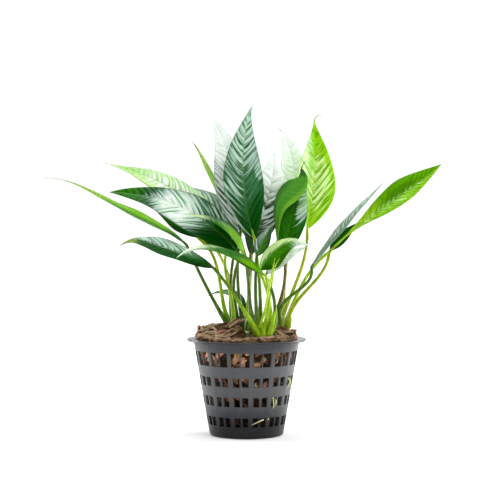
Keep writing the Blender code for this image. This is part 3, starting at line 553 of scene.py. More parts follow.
def mesh_from(bm, name):
    """The mesh that bm holds, with its faces looking out."""
    bmesh.ops.recalc_face_normals(bm, faces=bm.faces)
    mesh = bpy.data.meshes.new(name)
    bm.to_mesh(mesh)
    bm.free()
    return mesh


def add_values(mesh, name, values):
    layer = mesh.attributes.new(name, "FLOAT", "POINT")
    layer.data.foreach_set("value", np.asarray(values, np.float32).ravel())


def add_tint(mesh, colours):
    layer = mesh.attributes.new("tint", "FLOAT_COLOR", "POINT")
    colours = np.hstack((colours, np.ones((len(colours), 1))))
    layer.data.foreach_set("color", colours.astype(np.float32).ravel())


def place_piece(name, mesh, material, nodes):
    """Put a finished mesh into the scene as a piece that stands for its CAD nodes."""
    mesh.name = name
    mesh.materials.append(material)
    piece = bpy.data.objects.new(name, mesh)
    bpy.context.scene.collection.objects.link(piece)
    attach(piece, "root")
    if nodes:
        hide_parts(*nodes)
    return piece


def half_width(leaf, t):
    """Half the blade's width at t: rounded towards the stalk, drawn out to a narrow tip."""
    rising = np.sin(np.pi / 2 * np.minimum(t / leaf.widest, 1)) ** leaf.shoulder
    past = np.clip((t - leaf.widest) / (1 - leaf.widest), 0, 1)
    falling = np.maximum(np.cos(np.pi / 2 * past), 0) ** leaf.taper
    least = BLADE_FOOT_WIDTH + (BLADE_TIP_WIDTH - BLADE_FOOT_WIDTH) * t ** 0.5
    return np.maximum(leaf.width * np.where(t < leaf.widest, rising, falling), least) / 2


class Blade:
    """A blade as a grid: rows t run from its foot to its tip, columns s from margin to margin."""

    def __init__(self, leaf, settings):
        self.leaf, self.settings = leaf, settings
        self.ground, self.quilt, self.patches = PAINT[leaf.name]
        # Its own number, so that no two blades wave or vein alike
        self.seed = sum(ord(letter) * (i + 3) for i, letter in enumerate(leaf.name)) % 97
        self.length = np.linalg.norm(np.diff(np.array(leaf.midrib, float), axis=0), axis=1).sum()
        rows = max(BLADE_LEAST_ROWS, int(self.length * MM / settings.row_step))
        half = np.array(BLADE_COLUMNS)
        self.t = np.linspace(0, 1, rows)[:, None]
        self.s = np.concatenate((-half[::-1], (0,), half))
        self.out = np.abs(self.s)  # 0 at the midrib, 1 at the margin
        self.reach = half_width(leaf, self.t)
        self.off = self.out * self.reach  # mm off the midrib
        self.place = self.t * self.length  # mm along the midrib

        # Both sides of the blade share the points of the margin, the foot and the tip
        size = rows * len(self.s)
        self.inner = np.zeros((rows, len(self.s)), bool)
        self.inner[1:-1, 1:-1] = True
        self.upper_index = np.arange(size).reshape(self.inner.shape)
        self.under_index = self.upper_index.copy()
        self.under_index[self.inner] = size + np.arange(self.inner.sum())

    def narrow(self, full):
        """Keeps a feature small where the blade is narrower than full, in mm."""
        return np.minimum(self.reach / full, 1)

    def wave(self):
        """How far the margins wave up and down, in mm."""
        hand, seed = np.sign(self.s), self.seed
        wave = np.sin(self.place / LONG_WAVE + seed + 2.0 * hand)
        wave = wave + 0.5 * np.sin(self.place / SHORT_WAVE + seed * 1.7 + hand)
        wave = wave * self.settings.margin_wave / MM * self.out ** 3 * smooth_step(0.08, 0.3, self.t)
        return wave * self.narrow(8)

    def vein_counter(self):
        """Counts the lateral veins: they leave the midrib, climb and bend towards the tip."""
        climb = self.off * (VEIN_CLIMB + VEIN_BEND * self.off / max(self.leaf.width / 2, 1))
        wander = 0.28 * np.sin(self.place / 9 + self.seed) * self.out
        wander = wander + 0.2 * np.sin(self.off / 2.1 + self.seed * 0.7)
        spacing = self.settings.vein_spacing / MM * (0.35 + 0.65 * self.leaf.width / 20)
        return (self.place - climb) / spacing + wander + np.where(self.s > 0, 0.4, 0.0)

    def relief(self):
        """The quilting between the lateral veins, in mm. It fades at the foot, tip, margins and midrib."""
        pillow = np.abs(np.sin(np.pi * self.vein_counter())) ** 0.8
        fade = smooth_step(0.01, 0.12, self.t) * (1 - smooth_step(0.8, 0.99, self.t))
        fade = fade * (1 - self.out ** 5) * (1 - soft_bump(self.off, 0.9))
        return self.settings.quilting / MM * self.quilt * fade * (pillow - 0.5) * self.narrow(6)

    def middle_sheet(self):
        """The blade's middle surface: carried by the midrib, folded along it and waved at the margins."""
        leaf, t, s = self.leaf, self.t, self.s
        middle, along = on_route(leaf.midrib, t[:, 0]), along_route(leaf.midrib, t[:, 0])
        face = np.array(leaf.face, float)
        face = face + (np.array(leaf.tip_face, float) - face) * t
        up = unit(face - along * (face * along).sum(1, keepdims=True))
        side = np.cross(along, up)
        hook = np.array(leaf.hook, float) * np.maximum((t - HOOK_FROM) / (1 - HOOK_FROM), 0) ** 2
        fold = np.radians(np.where(s < 0, *leaf.fold))
        soft = np.sqrt(s * s + FOLD_ROUND ** 2) - FOLD_ROUND  # rounded at the midrib
        rise = self.reach * (soft * np.sin(fold) - MARGIN_CURL * s * s) + self.wave()
        grid = (middle + hook)[:, None, :] + side[:, None, :] * (s * self.reach * np.cos(fold))[..., None]
        return grid + up[:, None, :] * rise[..., None]

    def points(self):
        """The upper side's points, then the under side's inner ones."""
        grid, relief = self.middle_sheet(), self.relief()
        normal = unit(np.cross(np.gradient(grid, axis=1), np.gradient(grid, axis=0)))
        thick = self.settings.thickness / MM / 2 * (1 - 0.45 * self.out)
        thick = np.minimum(thick, self.reach * 0.5)
        groove = GROOVE_DEPTH * soft_bump(self.off, GROOVE_REACH) * (1 - 0.7 * self.t) * self.narrow(3)
        rib = (RIB_HEIGHT - (RIB_HEIGHT - RIB_TIP_HEIGHT) * self.t) * soft_bump(self.off, RIB_REACH)
        upper = grid + normal * np.where(self.inner, relief - groove + thick, relief)[..., None]
        under = grid + normal * (relief - thick - rib * self.narrow(2))[..., None]
        return np.vstack((upper.reshape(-1, 3), under[self.inner]))

    def faces(self):
        low, high = self.upper_index[:-1], self.upper_index[1:]
        upper = np.stack((low[:, :-1], low[:, 1:], high[:, 1:], high[:, :-1]), -1)
        low, high = self.under_index[:-1], self.under_index[1:]
        under = np.stack((low[:, :-1], high[:, :-1], high[:, 1:], low[:, 1:]), -1)
        return np.concatenate((upper, under)).reshape(-1, 4).tolist()

    def paint(self):
        """Its colour and its painted sheen, from its ground colour and its patches."""
        tint = np.tile(palette(self.ground), (*self.inner.shape, 1))
        sheen = np.zeros(self.inner.shape)
        for colour, at, across, long, wide, strength in self.patches:
            share = np.exp(-((self.t - at) / long) ** 2 - ((self.s - across) / wide) ** 2)
            share = smooth_step(0.12, 0.7, share) * strength
            if colour == "sheen":
                sheen = np.maximum(sheen, share)
            else:
                tint = tint + (palette(colour) - tint) * share[..., None]
        return tint, sheen

    def quilted(self):
        """Where painted shade darkens its creases. Silver blades have the longest plain tips."""
        fade = smooth_step(0.01, 0.1, self.t) * (1 - smooth_step(*PLAIN_TIP[self.leaf.skin], self.t))
        return self.quilt * fade * (1 - self.out ** 8) * (1 - soft_bump(self.off, 0.7))

    def mesh(self):
        """The blade as two veined sides that meet at a thin margin, with its paint kept on its points."""
        points, faces = self.points(), self.faces()
        blade_points, tail_tint = len(points), np.zeros(3)
        if self.leaf.name in TAILS:
            route, thickness, colour = TAILS[self.leaf.name]
            tail_tint = palette(colour)
            share = np.linspace(0, 1, TAIL_ROWS)
            tail = tube_points(on_route(route, share), thickness * (1 - 0.85 * share), TAIL_SIDES)
            faces += tube_faces(TAIL_ROWS, TAIL_SIDES, blade_points)
            points = np.vstack((points, tail))
        mesh = new_mesh(self.leaf.name, points, faces)

        def on_points(values, on_tail=(0.0,)):
            """The same values for both sides, then the tail's."""
            values = values.reshape(self.inner.size, -1)
            tail_values = np.tile(on_tail, (len(points) - blade_points, 1))
            return np.vstack((values, values[self.inner.ravel()], tail_values))

        tint, sheen = self.paint()
        add_tint(mesh, on_points(tint, tail_tint))
        kept = {"sheen": sheen, "vein": self.vein_counter() + self.seed, "off": self.off + self.seed,
                "margin": smooth_step(0.93, 1.0, self.out) * np.ones_like(sheen),
                "midrib": soft_bump(self.off, 0.55 - 0.3 * self.t), "quilted": self.quilted()}
        for name, values in kept.items():
            add_values(mesh, name, on_points(values))
        add_values(mesh, "under", np.arange(len(points)) >= self.inner.size)

        on_rim = np.zeros(len(points), bool)
        on_rim[self.upper_index[~self.inner]] = True
        ends = np.zeros(len(mesh.edges) * 2, np.int32)
        mesh.edges.foreach_get("vertices", ends)
        sharp = mesh.attributes.new("sharp_edge", "BOOLEAN", "EDGE")
        sharp.data.foreach_set("value", on_rim[ends.reshape(-1, 2)].all(axis=1))
        return mesh


def tube_points(route, radii, sides, flat=1.0, toward=(1.0, 0.3, 0.1)):
    """Rings of points along a route, in mm, with closing points at both ends. flat thins it in toward."""
    route, radii = np.asarray(route, float), np.asarray(radii, float)
    along = unit(np.gradient(route, axis=0))
    across = np.array(toward, float)
    turn = np.linspace(0, 2 * np.pi, sides, endpoint=False)[:, None]
    rings = [route[:1] - along[:1] * radii[0] * 0.4]
    for point, ahead, radius in zip(route, along, radii):
        across = across - ahead * across.dot(ahead)
        across /= np.linalg.norm(across)
        beside = np.cross(ahead, across)
        rings.append(point + radius * (np.cos(turn) * across * flat + np.sin(turn) * beside))
    return np.vstack((*rings, route[-1:] + along[-1:] * radii[-1] * 0.6))


def tube_faces(rows, sides, first=0):
    """Faces for tube_points' rings, facing out."""
    faces = []
    start = first + 1
    top = start + (rows - 1) * sides
    for k in range(sides):
        after = (k + 1) % sides
        faces.append((first, start + after, start + k))
        for low in range(start, top, sides):
            faces.append((low + k, low + after, low + sides + after, low + sides + k))
        faces.append((top + k, top + after, top + sides))
    return faces


class TubeSet:
    """Gathers tubes into one mesh, with a colour for each point."""

    def __init__(self):
        self.points, self.faces, self.tints, self.count = [], [], [], 0

    def add(self, route, radii, colours, sides, flat=1.0, toward=(1.0, 0.3, 0.1)):
        points = tube_points(route, radii, sides, flat, toward)
        self.faces += tube_faces(len(route), sides, self.count)
        self.count += len(points)
        self.points.append(points)
        rows = np.repeat(np.asarray(colours, float), sides, axis=0)
        self.tints.append(np.vstack((rows[:1], rows, rows[-1:])))

    def mesh(self, name):
        mesh = new_mesh(name, np.vstack(self.points), self.faces)
        add_tint(mesh, np.vstack(self.tints))
        return mesh


class Shader:
    """Adds nodes to one node tree. An input given as a node's output is linked, any other is set."""

    def __init__(self, tree):
        self.tree = tree

    def node(self, kind, inputs=None, **settings):
        node = self.tree.nodes.new("ShaderNode" + kind)
        for name, value in settings.items():
            setattr(node, name, value)
        for name, value in (inputs or {}).items():
            if isinstance(value, bpy.types.NodeSocket):
                self.tree.links.new(value, node.inputs[name])
            else:
                node.inputs[name].default_value = value
        return node

    def math(self, operation, *values, clamp=False):
        return self.node("Math", dict(enumerate(values)), operation=operation, use_clamp=clamp).outputs[0]

    def times(self, first, second, clamp=False):
        return self.math("MULTIPLY", first, second, clamp=clamp)

    def scaled(self, value, factor, offset):
        """value times factor, plus offset."""
        return self.math("MULTIPLY_ADD", value, factor, offset)

    def mix(self, share, first, second, blend="MIX"):
        """The first colour, with a share of the second over it."""
        first, second = (colour if isinstance(colour, bpy.types.NodeSocket) else (*colour[:3], 1)
                         for colour in (first, second))
        inputs = {0: share, 6: first, 7: second}
        return self.node("Mix", inputs, data_type="RGBA", blend_type=blend).outputs[2]

    def over(self, colour, second, mask, share):
        """The colour, with the second over it by a share of the mask."""
        return self.mix(self.times(mask, share), colour, second)

    def ramp(self, value, low, high, bottom=0.0, top=1.0):
        """Map value from low..high to bottom..top, smoothly and clamped."""
        ends = {"From Min": low, "From Max": high, "To Min": bottom, "To Max": top}
        return self.node("MapRange", {"Value": value, **ends}, interpolation_type="SMOOTHSTEP").outputs[0]

    def attribute(self, name, output="Fac"):
        return self.node("Attribute", attribute_name=name).outputs[output]

    def place(self):
        """The place on the piece, in metres."""
        return self.node("TexCoord").outputs["Object"]

    def stretched(self, scale, turn=(0, 0, 0)):
        return self.node("Mapping", {"Vector": self.place(), "Scale": scale, "Rotation": turn}).outputs[0]

    def noise(self, place, scale, detail, roughness=0.5):
        return self.node("TexNoise", {"Vector": place, "Scale": scale, "Detail": detail,
                                      "Roughness": roughness}).outputs[0]

    def skin(self, colour, roughness, height, strength, depth, others):
        """The Principled surface, with a bump as deep as depth in metres."""
        bump = self.node("Bump", {"Height": height, "Strength": strength, "Distance": depth})
        return self.node("BsdfPrincipled", {"Base Color": colour, "Roughness": roughness, **others,
                                            "Normal": bump.outputs["Normal"]}).outputs[0]


def shared_group(name, inputs, outputs, fill):
    """The shader group called name. The first time, fill makes its outputs from its inputs."""
    group = bpy.data.node_groups.get(name)
    if group is None:
        group = bpy.data.node_groups.new(name, "ShaderNodeTree")
        for label, default in inputs.items():
            socket = group.interface.new_socket(label, in_out="INPUT", socket_type="NodeSocketFloat")
            socket.default_value = default
        for label in outputs:
            group.interface.new_socket(label, in_out="OUTPUT", socket_type="NodeSocketFloat")
        given = group.nodes.new("NodeGroupInput").outputs
        end = group.nodes.new("NodeGroupOutput")
        for label, value in zip(outputs, fill(Shader(group), given)):
            group.links.new(value, end.inputs[label])
    return group


def shared_material(name, surface, *details):
    """The material called name. The first time, surface makes its shader."""
    material = bpy.data.materials.get(name)
    if material is None:
        material = bpy.data.materials.new(name)
        material.use_nodes = True
        material.node_tree.nodes.clear()
        shader = Shader(material.node_tree)
        shader.node("OutputMaterial", {"Surface": surface(shader, *details)})
    return material


def fill_mottle(shader, given):
    place = shader.place()
    return (shader.ramp(shader.noise(place, given["Cloud Size"], 3.0), 0.3, 0.7),
            shader.ramp(shader.noise(place, given["Speckle Size"], 2.0), 0.35, 0.65))


def mottle(shader, cloud_size, speckle_size):
    """Soft cloudy variation and fine speckle, which every material uses."""
    group = shared_group("Mottle", {"Cloud Size": 120.0, "Speckle Size": 900.0}, ("Cloud", "Speckle"),
                         fill_mottle)
    values = shader.node("Group", {"Cloud Size": cloud_size, "Speckle Size": speckle_size}, node_tree=group)
    return values.outputs["Cloud"], values.outputs["Speckle"]


def fill_veins(shader, given):
    def streaks(along, off, detail):
        """Noise drawn out along the veins."""
        place = shader.node("CombineXYZ", {0: shader.times(given["Counter"], along),
                                           1: shader.times(given["Off Midrib"], off)})
        return shader.noise(place.outputs[0], 1.0, detail)

    fine = streaks(3.0, 0.13, 4.0)
    drift = shader.scaled(streaks(0.5, 0.06, 1.0), 8.0, -4.0)
    swing = shader.math("SINE", shader.scaled(given["Counter"], 2 * math.pi, drift))
    level = shader.scaled(swing, 0.42, shader.scaled(fine, 5.0, -2.5))
    # The more painted sheen, the lower the ridges that carry it
    sheen_share = shader.scaled(given["Wax"], 2.6, shader.math("ADD", level, -1.8))
    return (shader.ramp(sheen_share, -0.65, 0.65), shader.ramp(level, 0.0, -0.7),
            shader.math("ADD", fine, shader.times(swing, 0.3)))


def veins(shader, wax):
    """The lateral veins, from the blade's vein counter and distance off its midrib."""
    group = shared_group("Leaf veins", {"Counter": 0.0, "Off Midrib": 0.0, "Wax": 0.0},
                         ("Waxy Ridges", "Crease", "Height"), fill_veins)
    return shader.node("Group", {"Counter": shader.attribute("vein"), "Off Midrib": shader.attribute("off"),
                                 "Wax": wax}, node_tree=group).outputs


def leaf_surface(shader, finish):
    """Glossy blade: painted ground, painted reflection on the ridges between its veins, painted shade in
    its creases, midrib, margin, light through it.
    """
    settings = bpy.context.scene.anubias_leaves
    sheen, under = shader.attribute("sheen"), shader.attribute("under")
    tint = shader.attribute("tint", "Color")
    ridges, crease, height = veins(shader, sheen).values()
    cloud, speckle = mottle(shader, 90.0, 1400.0)

    darker = shader.mix(1.0, tint, (0.6, 0.74, 0.5), "MULTIPLY")
    colour = shader.over(tint, darker, cloud, 0.4)
    # Painted shade: the creases between the vein ridges are darkened
    colour = shader.over(colour, darker, crease, 0.4)
    # Painted reflection: the sheen colour lightens the vein ridges where the sheen mask lies
    sheen_share = shader.times(ridges, shader.scaled(cloud, -0.25, 0.95))
    colour = shader.mix(sheen_share, colour, getattr(settings, finish.wax), "LIGHTEN")
    # Painted shade again in the sunken creases, with the finish's crease colour
    shadow = shader.mix(1.0, tint, finish.crease, "MULTIPLY")
    sunk = shader.times(crease, shader.attribute("quilted"), clamp=True)
    colour = shader.mix(sunk, colour, shadow)
    rib = shader.mix(0.4, tint, settings.lime)
    colour = shader.over(colour, rib, shader.attribute("midrib"), 0.16)
    margin = getattr(settings, finish.margin)
    colour = shader.over(colour, margin, shader.attribute("margin"), 0.55)
    dull = shader.mix(0.15, tint, settings.grey_green)
    colour = shader.over(colour, dull, under, 0.5)

    rough = shader.scaled(under, 0.2, shader.scaled(speckle, 0.12, finish.roughness))
    gloss = shader.times(shader.times(shader.math("SUBTRACT", 1.0, under), sheen), 0.25)
    skin = shader.skin(colour, rough, height, 0.6, 0.0003,
                       {"Coat Weight": gloss, "Coat Roughness": 0.2, "Specular IOR Level": finish.specular,
                        "Specular Tint": finish.gloss})
    lit = shader.node("BsdfTranslucent", {"Color": shader.mix(1.0, colour, (1.0, 1.0, 0.5), "MULTIPLY")})
    return shader.node("MixShader", {0: finish.through, 1: skin, 2: lit.outputs[0]}).outputs[0]


def stalk_surface(shader):
    """Stalks and sheaths: fine lengthwise streaks, brown flecks and a satin skin."""
    tint = shader.attribute("tint", "Color")
    streak = shader.noise(shader.stretched((1.0, 1.0, 0.08)), 1500.0, 2.0)
    cloud, speckle = mottle(shader, 260.0, 1100.0)
    darker = shader.mix(1.0, tint, (0.3, 0.4, 0.2), "MULTIPLY")
    paler = shader.mix(0.3, tint, (0.7, 0.85, 0.2))
    colour = shader.mix(0.3, tint, shader.mix(shader.ramp(streak, 0.35, 0.65), darker, paler))
    colour = shader.over(colour, darker, cloud, 0.35)
    fleck = shader.times(shader.ramp(speckle, 0.8, 1.0), shader.ramp(cloud, 0.4, 0.9))
    colour = shader.over(colour, bpy.context.scene.anubias_stalks.stalk_brown, fleck, 0.35)
    return shader.skin(colour, shader.scaled(cloud, 0.12, 0.24), streak, 0.35, 0.0001,
                       {"Specular IOR Level": 0.25, "Specular Tint": (0.8, 1.0, 0.4, 1)})


def bark_surface(shader):
    """Bark and peat: grain and dark crevices over each chip's own colour."""
    settings = bpy.context.scene.anubias_bark
    tint = shader.attribute("tint", "Color")
    grain = shader.noise(shader.stretched((0.35, 1.0, 1.6), (0.4, 0.3, 0.6)), 900.0, 6.0, 0.65)
    cloud, speckle = mottle(shader, 220.0, 1600.0)
    dark = shader.mix(0.62, tint, settings.dark)
    colour = shader.mix(shader.ramp(grain, 0.32, 0.5), dark, tint)
    pale = shader.mix(0.45, tint, settings.pale)
    colour = shader.over(colour, pale, shader.ramp(grain, 0.54, 0.7), 0.6)
    colour = shader.over(colour, dark, shader.ramp(cloud, 0.6, 0.1), 0.35)
    return shader.skin(colour, shader.scaled(grain, -0.25, 0.95), shader.scaled(speckle, 0.25, grain), 1.0,
                       0.0007, {"Specular IOR Level": 0.05})


def plastic_surface(shader):
    """Satin dark plastic with faint scuffs, with painted shade that darkens it low down and under the rim,
    and darker and glossier on the rim's top.
    """
    settings = bpy.context.scene.anubias_pot
    cloud, speckle = mottle(shader, 70.0, 2200.0)
    scratch = shader.noise(shader.stretched((1.0, 1.0, 0.15)), 600.0, 4.0)
    worn = shader.times(shader.ramp(scratch, 0.55, 0.72), cloud)
    colour = shader.over(settings.plastic, settings.scuff, worn, 0.22)
    height = shader.node("SeparateXYZ", {0: shader.place()}).outputs["Z"]
    dark_plastic = shader.mix(1.0, colour, (0.18, 0.19, 0.2), "MULTIPLY")
    lip = shader.ramp(height, 0.0473, 0.0478)
    # Painted shade: much darker towards the foot of the pot
    colour = shader.mix(shader.ramp(height, 0.004, 0.022, 1.0, 0.0), colour, dark_plastic)
    # Painted shade under the rim
    colour = shader.over(colour, dark_plastic, shader.ramp(height, 0.04, 0.046), 0.35)
    # Darker and glossier on the rim's top
    colour = shader.over(colour, dark_plastic, lip, 0.5)
    rough = shader.scaled(scratch, 0.08, shader.scaled(cloud, 0.12, 0.27))
    rough = shader.scaled(lip, -0.12, rough)
    return shader.skin(colour, rough, shader.scaled(scratch, 0.5, speckle), 0.12, 0.0001,
                       {"Specular IOR Level": 0.12})


def wall_radius(z):
    """The pot wall's outer radius at a height."""
    share = (z - FOOT_ROUND) / (POT_HEIGHT - RIM_THICKNESS - FOOT_ROUND)
    return FOOT_RADIUS + (WALL_TOP_RADIUS - FOOT_RADIUS) * share


def rounded_radius(z):
    """The wall's outer radius with its rounded foot."""
    if z >= FOOT_ROUND:
        return wall_radius(z)
    return FOOT_RADIUS - FOOT_ROUND + math.sqrt(max(FOOT_ROUND ** 2 - (FOOT_ROUND - z) ** 2, 0))


def pierced_faces(rows, columns, is_slot, other, first=0):
    """Faces of two sheets of rows that run all the way round, joined at every slot's sides.

    The first sheet's points start at first, and the other sheet's points lie other further on.
    """
    faces = []
    for row in range(rows - 1):
        for column in range(columns):
            if is_slot(row, column):
                continue
            after = (column + 1) % columns
            a, b = first + row * columns + column, first + row * columns + after
            c, d = b + columns, a + columns
            faces += [(a, b, c, d), (a + other, d + other, c + other, b + other)]
            beside = ((row, after, b, c), (row, (column - 1) % columns, d, a), (row - 1, column, a, b),
                      (row + 1, column, c, d))
            for slot_row, slot_column, start, end in beside:
                if 0 <= slot_row < rows - 1 and is_slot(slot_row, slot_column):
                    faces.append((start, start + other, end + other, end))
    return faces


def pot_wall(rib_height):
    """The wall as points and faces: an outer and an inner sheet, joined round every slot."""
    stations = [0.0, RIB_HALF_TURN, PAIR_PITCH - RIB_HALF_TURN]
    stations += [centre + offset for centre in SLOT_CENTRES for offset in SLOT_STATIONS]
    turns = [(pair * PAIR_PITCH + station, station)
             for pair in range(PAIRS_ROUND) for station in sorted(stations)]
    heights = [*WALL_FOOT_HEIGHTS, *WALL_TOP_HEIGHTS]
    for low, high, _ in SLOT_ROWS:
        heights += [low, (low + high) / 2, high]
    heights = sorted(heights + [high + ABOVE_SLOTS for _, high, _ in SLOT_ROWS[:-1]])
    columns, rows = len(turns), len(heights)

    points = []
    for inner in (False, True):
        for z in heights:
            for turn, station in turns:
                radius = rounded_radius(max(z, FOOT_ROUND)) - WALL if inner else rounded_radius(z)
                if not inner and station == 0.0 and z > 1:
                    radius += rib_height
                points.append(off_axis(radius, math.radians(turn + POT_TURN), z))

    def is_slot(row, column):
        middle = (heights[row] + heights[row + 1]) / 2
        after = turns[(column + 1) % columns][0] or 360
        within = ((turns[column][0] + after) / 2) % PAIR_PITCH
        return any(low < middle < high and any(abs(within - centre) < reach for centre in SLOT_CENTRES)
                   for low, high, reach in SLOT_ROWS)

    inside = rows * columns
    faces = pierced_faces(rows, columns, is_slot, inside)
    top = (rows - 1) * columns
    for column in range(columns):
        after = (column + 1) % columns
        faces.append((column, column + inside, after + inside, after))
        faces.append((top + after, top + after + inside, top + column + inside, top + column))
    return points, faces


def rim_ring():
    """The rim: its outline turned round the pot's axis."""
    count = len(RIM_PROFILE)
    points = [off_axis(radius, 2 * math.pi * step / RIM_STEPS, z)
              for step in range(RIM_STEPS) for radius, z in RIM_PROFILE]
    faces = []
    for step in range(RIM_STEPS):
        here, there = step * count, ((step + 1) % RIM_STEPS) * count
        for i in range(count):
            j = (i + 1) % count
            faces.append((here + i, here + j, there + j, there + i))
    return points, faces


def pot_floor():
    """The floor: a disc with drain slots, that fills the wall's foot."""
    width = 360 / FLOOR_STEPS
    slot_turn = 360 / DRAIN_SLOTS
    slot_columns = 1.5 * width  # a slot is three columns wide
    points = []
    for z in FLOOR_HEIGHTS:
        points.append((0, 0, z))
        for radius in FLOOR_RINGS:
            for step in range(FLOOR_STEPS):
                turn = step * width
                off = (turn % slot_turn) - slot_turn / 2
                # The columns beside a slot are moved to its straight sides
                if abs(abs(off) - slot_columns) < 0.01 and radius > FLOOR_RINGS[0]:
                    turn += math.copysign(math.degrees(math.asin(DRAIN_HALF_WIDTH / radius)), off) - off
                points.append(off_axis(radius, math.radians(turn + POT_TURN), z))

    def is_slot(ring, step):
        middle = ((step + 0.5) * width) % slot_turn - slot_turn / 2
        return DRAIN_REACH[0] <= FLOOR_RINGS[ring] < DRAIN_REACH[1] and abs(middle) < slot_columns

    layer = len(points) // 2
    faces = pierced_faces(len(FLOOR_RINGS), FLOOR_STEPS, is_slot, layer, 1)
    rim = layer - FLOOR_STEPS
    for step in range(FLOOR_STEPS):
        after = (step + 1) % FLOOR_STEPS
        faces += [(0, 1 + after, 1 + step), (layer, layer + 1 + step, layer + 1 + after)]
        faces.append((rim + step, rim + after, rim + after + layer, rim + step + layer))
    return points, faces


def build_pot(settings):
    """The net pot: wall, rim and floor in one mesh with rounded edges."""
    bm = bmesh.new()
    for points, faces in (pot_wall(settings.rib / MM), rim_ring(), pot_floor()):
        made = [bm.verts.new(Vector(point) * MM) for point in points]
        for face in faces:
            bm.faces.new([made[i] for i in face])
    mesh = mesh_from(bm, "pot")
    mesh.polygons.foreach_set("use_smooth", [True] * len(mesh.polygons))
    material = shared_material("pot_plastic_satin", plastic_surface)
    piece = place_piece("net_pot", mesh, material, ("pot",))
    bevel = piece.modifiers.new("rounded edges", "BEVEL")
    bevel.width = settings.edge
    bevel.segments = 2
    bevel.limit_method = "ANGLE"
    bevel.angle_limit = math.radians(40)
    bevel.harden_normals = True


def soil_height(x, y):
    """How high the bark lies at a place in the pot."""
    height = SOIL_LEVEL
    for mound_x, mound_y, rise, spread in MOUNDS:
        height = height + rise * np.exp(-((x - mound_x) ** 2 + (y - mound_y) ** 2) / spread ** 2)
    return height


def lumps(place, *layers):
    """Layers of smooth noise at a place, each given as how fine and how strong it is."""
    return sum(noise.noise(Vector(place) * fine) * strong for fine, strong in layers)


def bark_colours(settings):
    return [np.array(colour) for colour in (settings.brown, settings.red, settings.pale, settings.dark)]


def bark_material():
    return shared_material("bark_and_peat", bark_surface)


def build_substrate(settings):
    """The body of peat and bark: lumpy all over, with its own crevices."""
    brown, _, _, dark = bark_colours(settings)
    rows = [(wall_radius(z) - WALL - 0.5, z) for z in np.linspace(PEAT_FOOT, PEAT_SHOULDER, PEAT_SIDE_ROWS)]
    rows += [(radius, None) for radius in np.linspace(SOIL_RADIUS_TOP - 0.2, 0.8, PEAT_TOP_ROWS)]
    points, tints = [], []
    for radius, z in rows:
        for turn in np.linspace(0, 2 * np.pi, PEAT_SIDES, endpoint=False):
            x, y, _ = off_axis(radius, turn)
            if z is None:
                lump = lumps((x, y, 3.0), (0.3, 1.1), (0.75, 0.7), (1.9, 0.3))
                edge = min((SOIL_RADIUS_TOP - radius) / 3, 1)
                top = soil_height(x, y) - 0.9 + lump * (0.4 + 0.6 * edge) - 0.9 * (1 - edge)
                points.append((x, y, top))
                deep = 1.0
            else:
                lump = lumps((x, y, z), (0.35, 0.9), (0.9, 0.5))
                points.append(off_axis(radius - 0.6 + min(lump, 0.55), turn, z))
                deep = 0.06 + 0.4 * z / 47  # the light fades down the pot
            share = min(max(0.5 + lump * 0.45, 0), 1)
            tints.append(dark * deep + (brown * 0.6 - dark) * share * deep)
    faces = []
    for row in range(0, len(points) - PEAT_SIDES, PEAT_SIDES):
        for k in range(PEAT_SIDES):
            a, b = row + k, row + (k + 1) % PEAT_SIDES
            faces.append((a, b, b + PEAT_SIDES, a + PEAT_SIDES))
    faces.append(tuple(range(PEAT_SIDES))[::-1])
    faces.append(tuple(range(len(points) - PEAT_SIDES, len(points))))
    mesh = new_mesh("peat", points, faces)
    add_tint(mesh, np.array(tints))
    place_piece("substrate_body", mesh, bark_material(), ("substrate",))


def turned(x, y, z, yaw, rise, roll):
    """A place in mm, turned about Z, with its nose raised and then rolled, in degrees."""
    yaw, rise, roll = (math.radians(angle) for angle in (yaw, rise, roll))
    return (Matrix.Translation((x, y, z)) @ Matrix.Rotation(yaw, 4, "Z") @ Matrix.Rotation(-rise, 4, "Y")
            @ Matrix.Rotation(roll, 4, "X"))


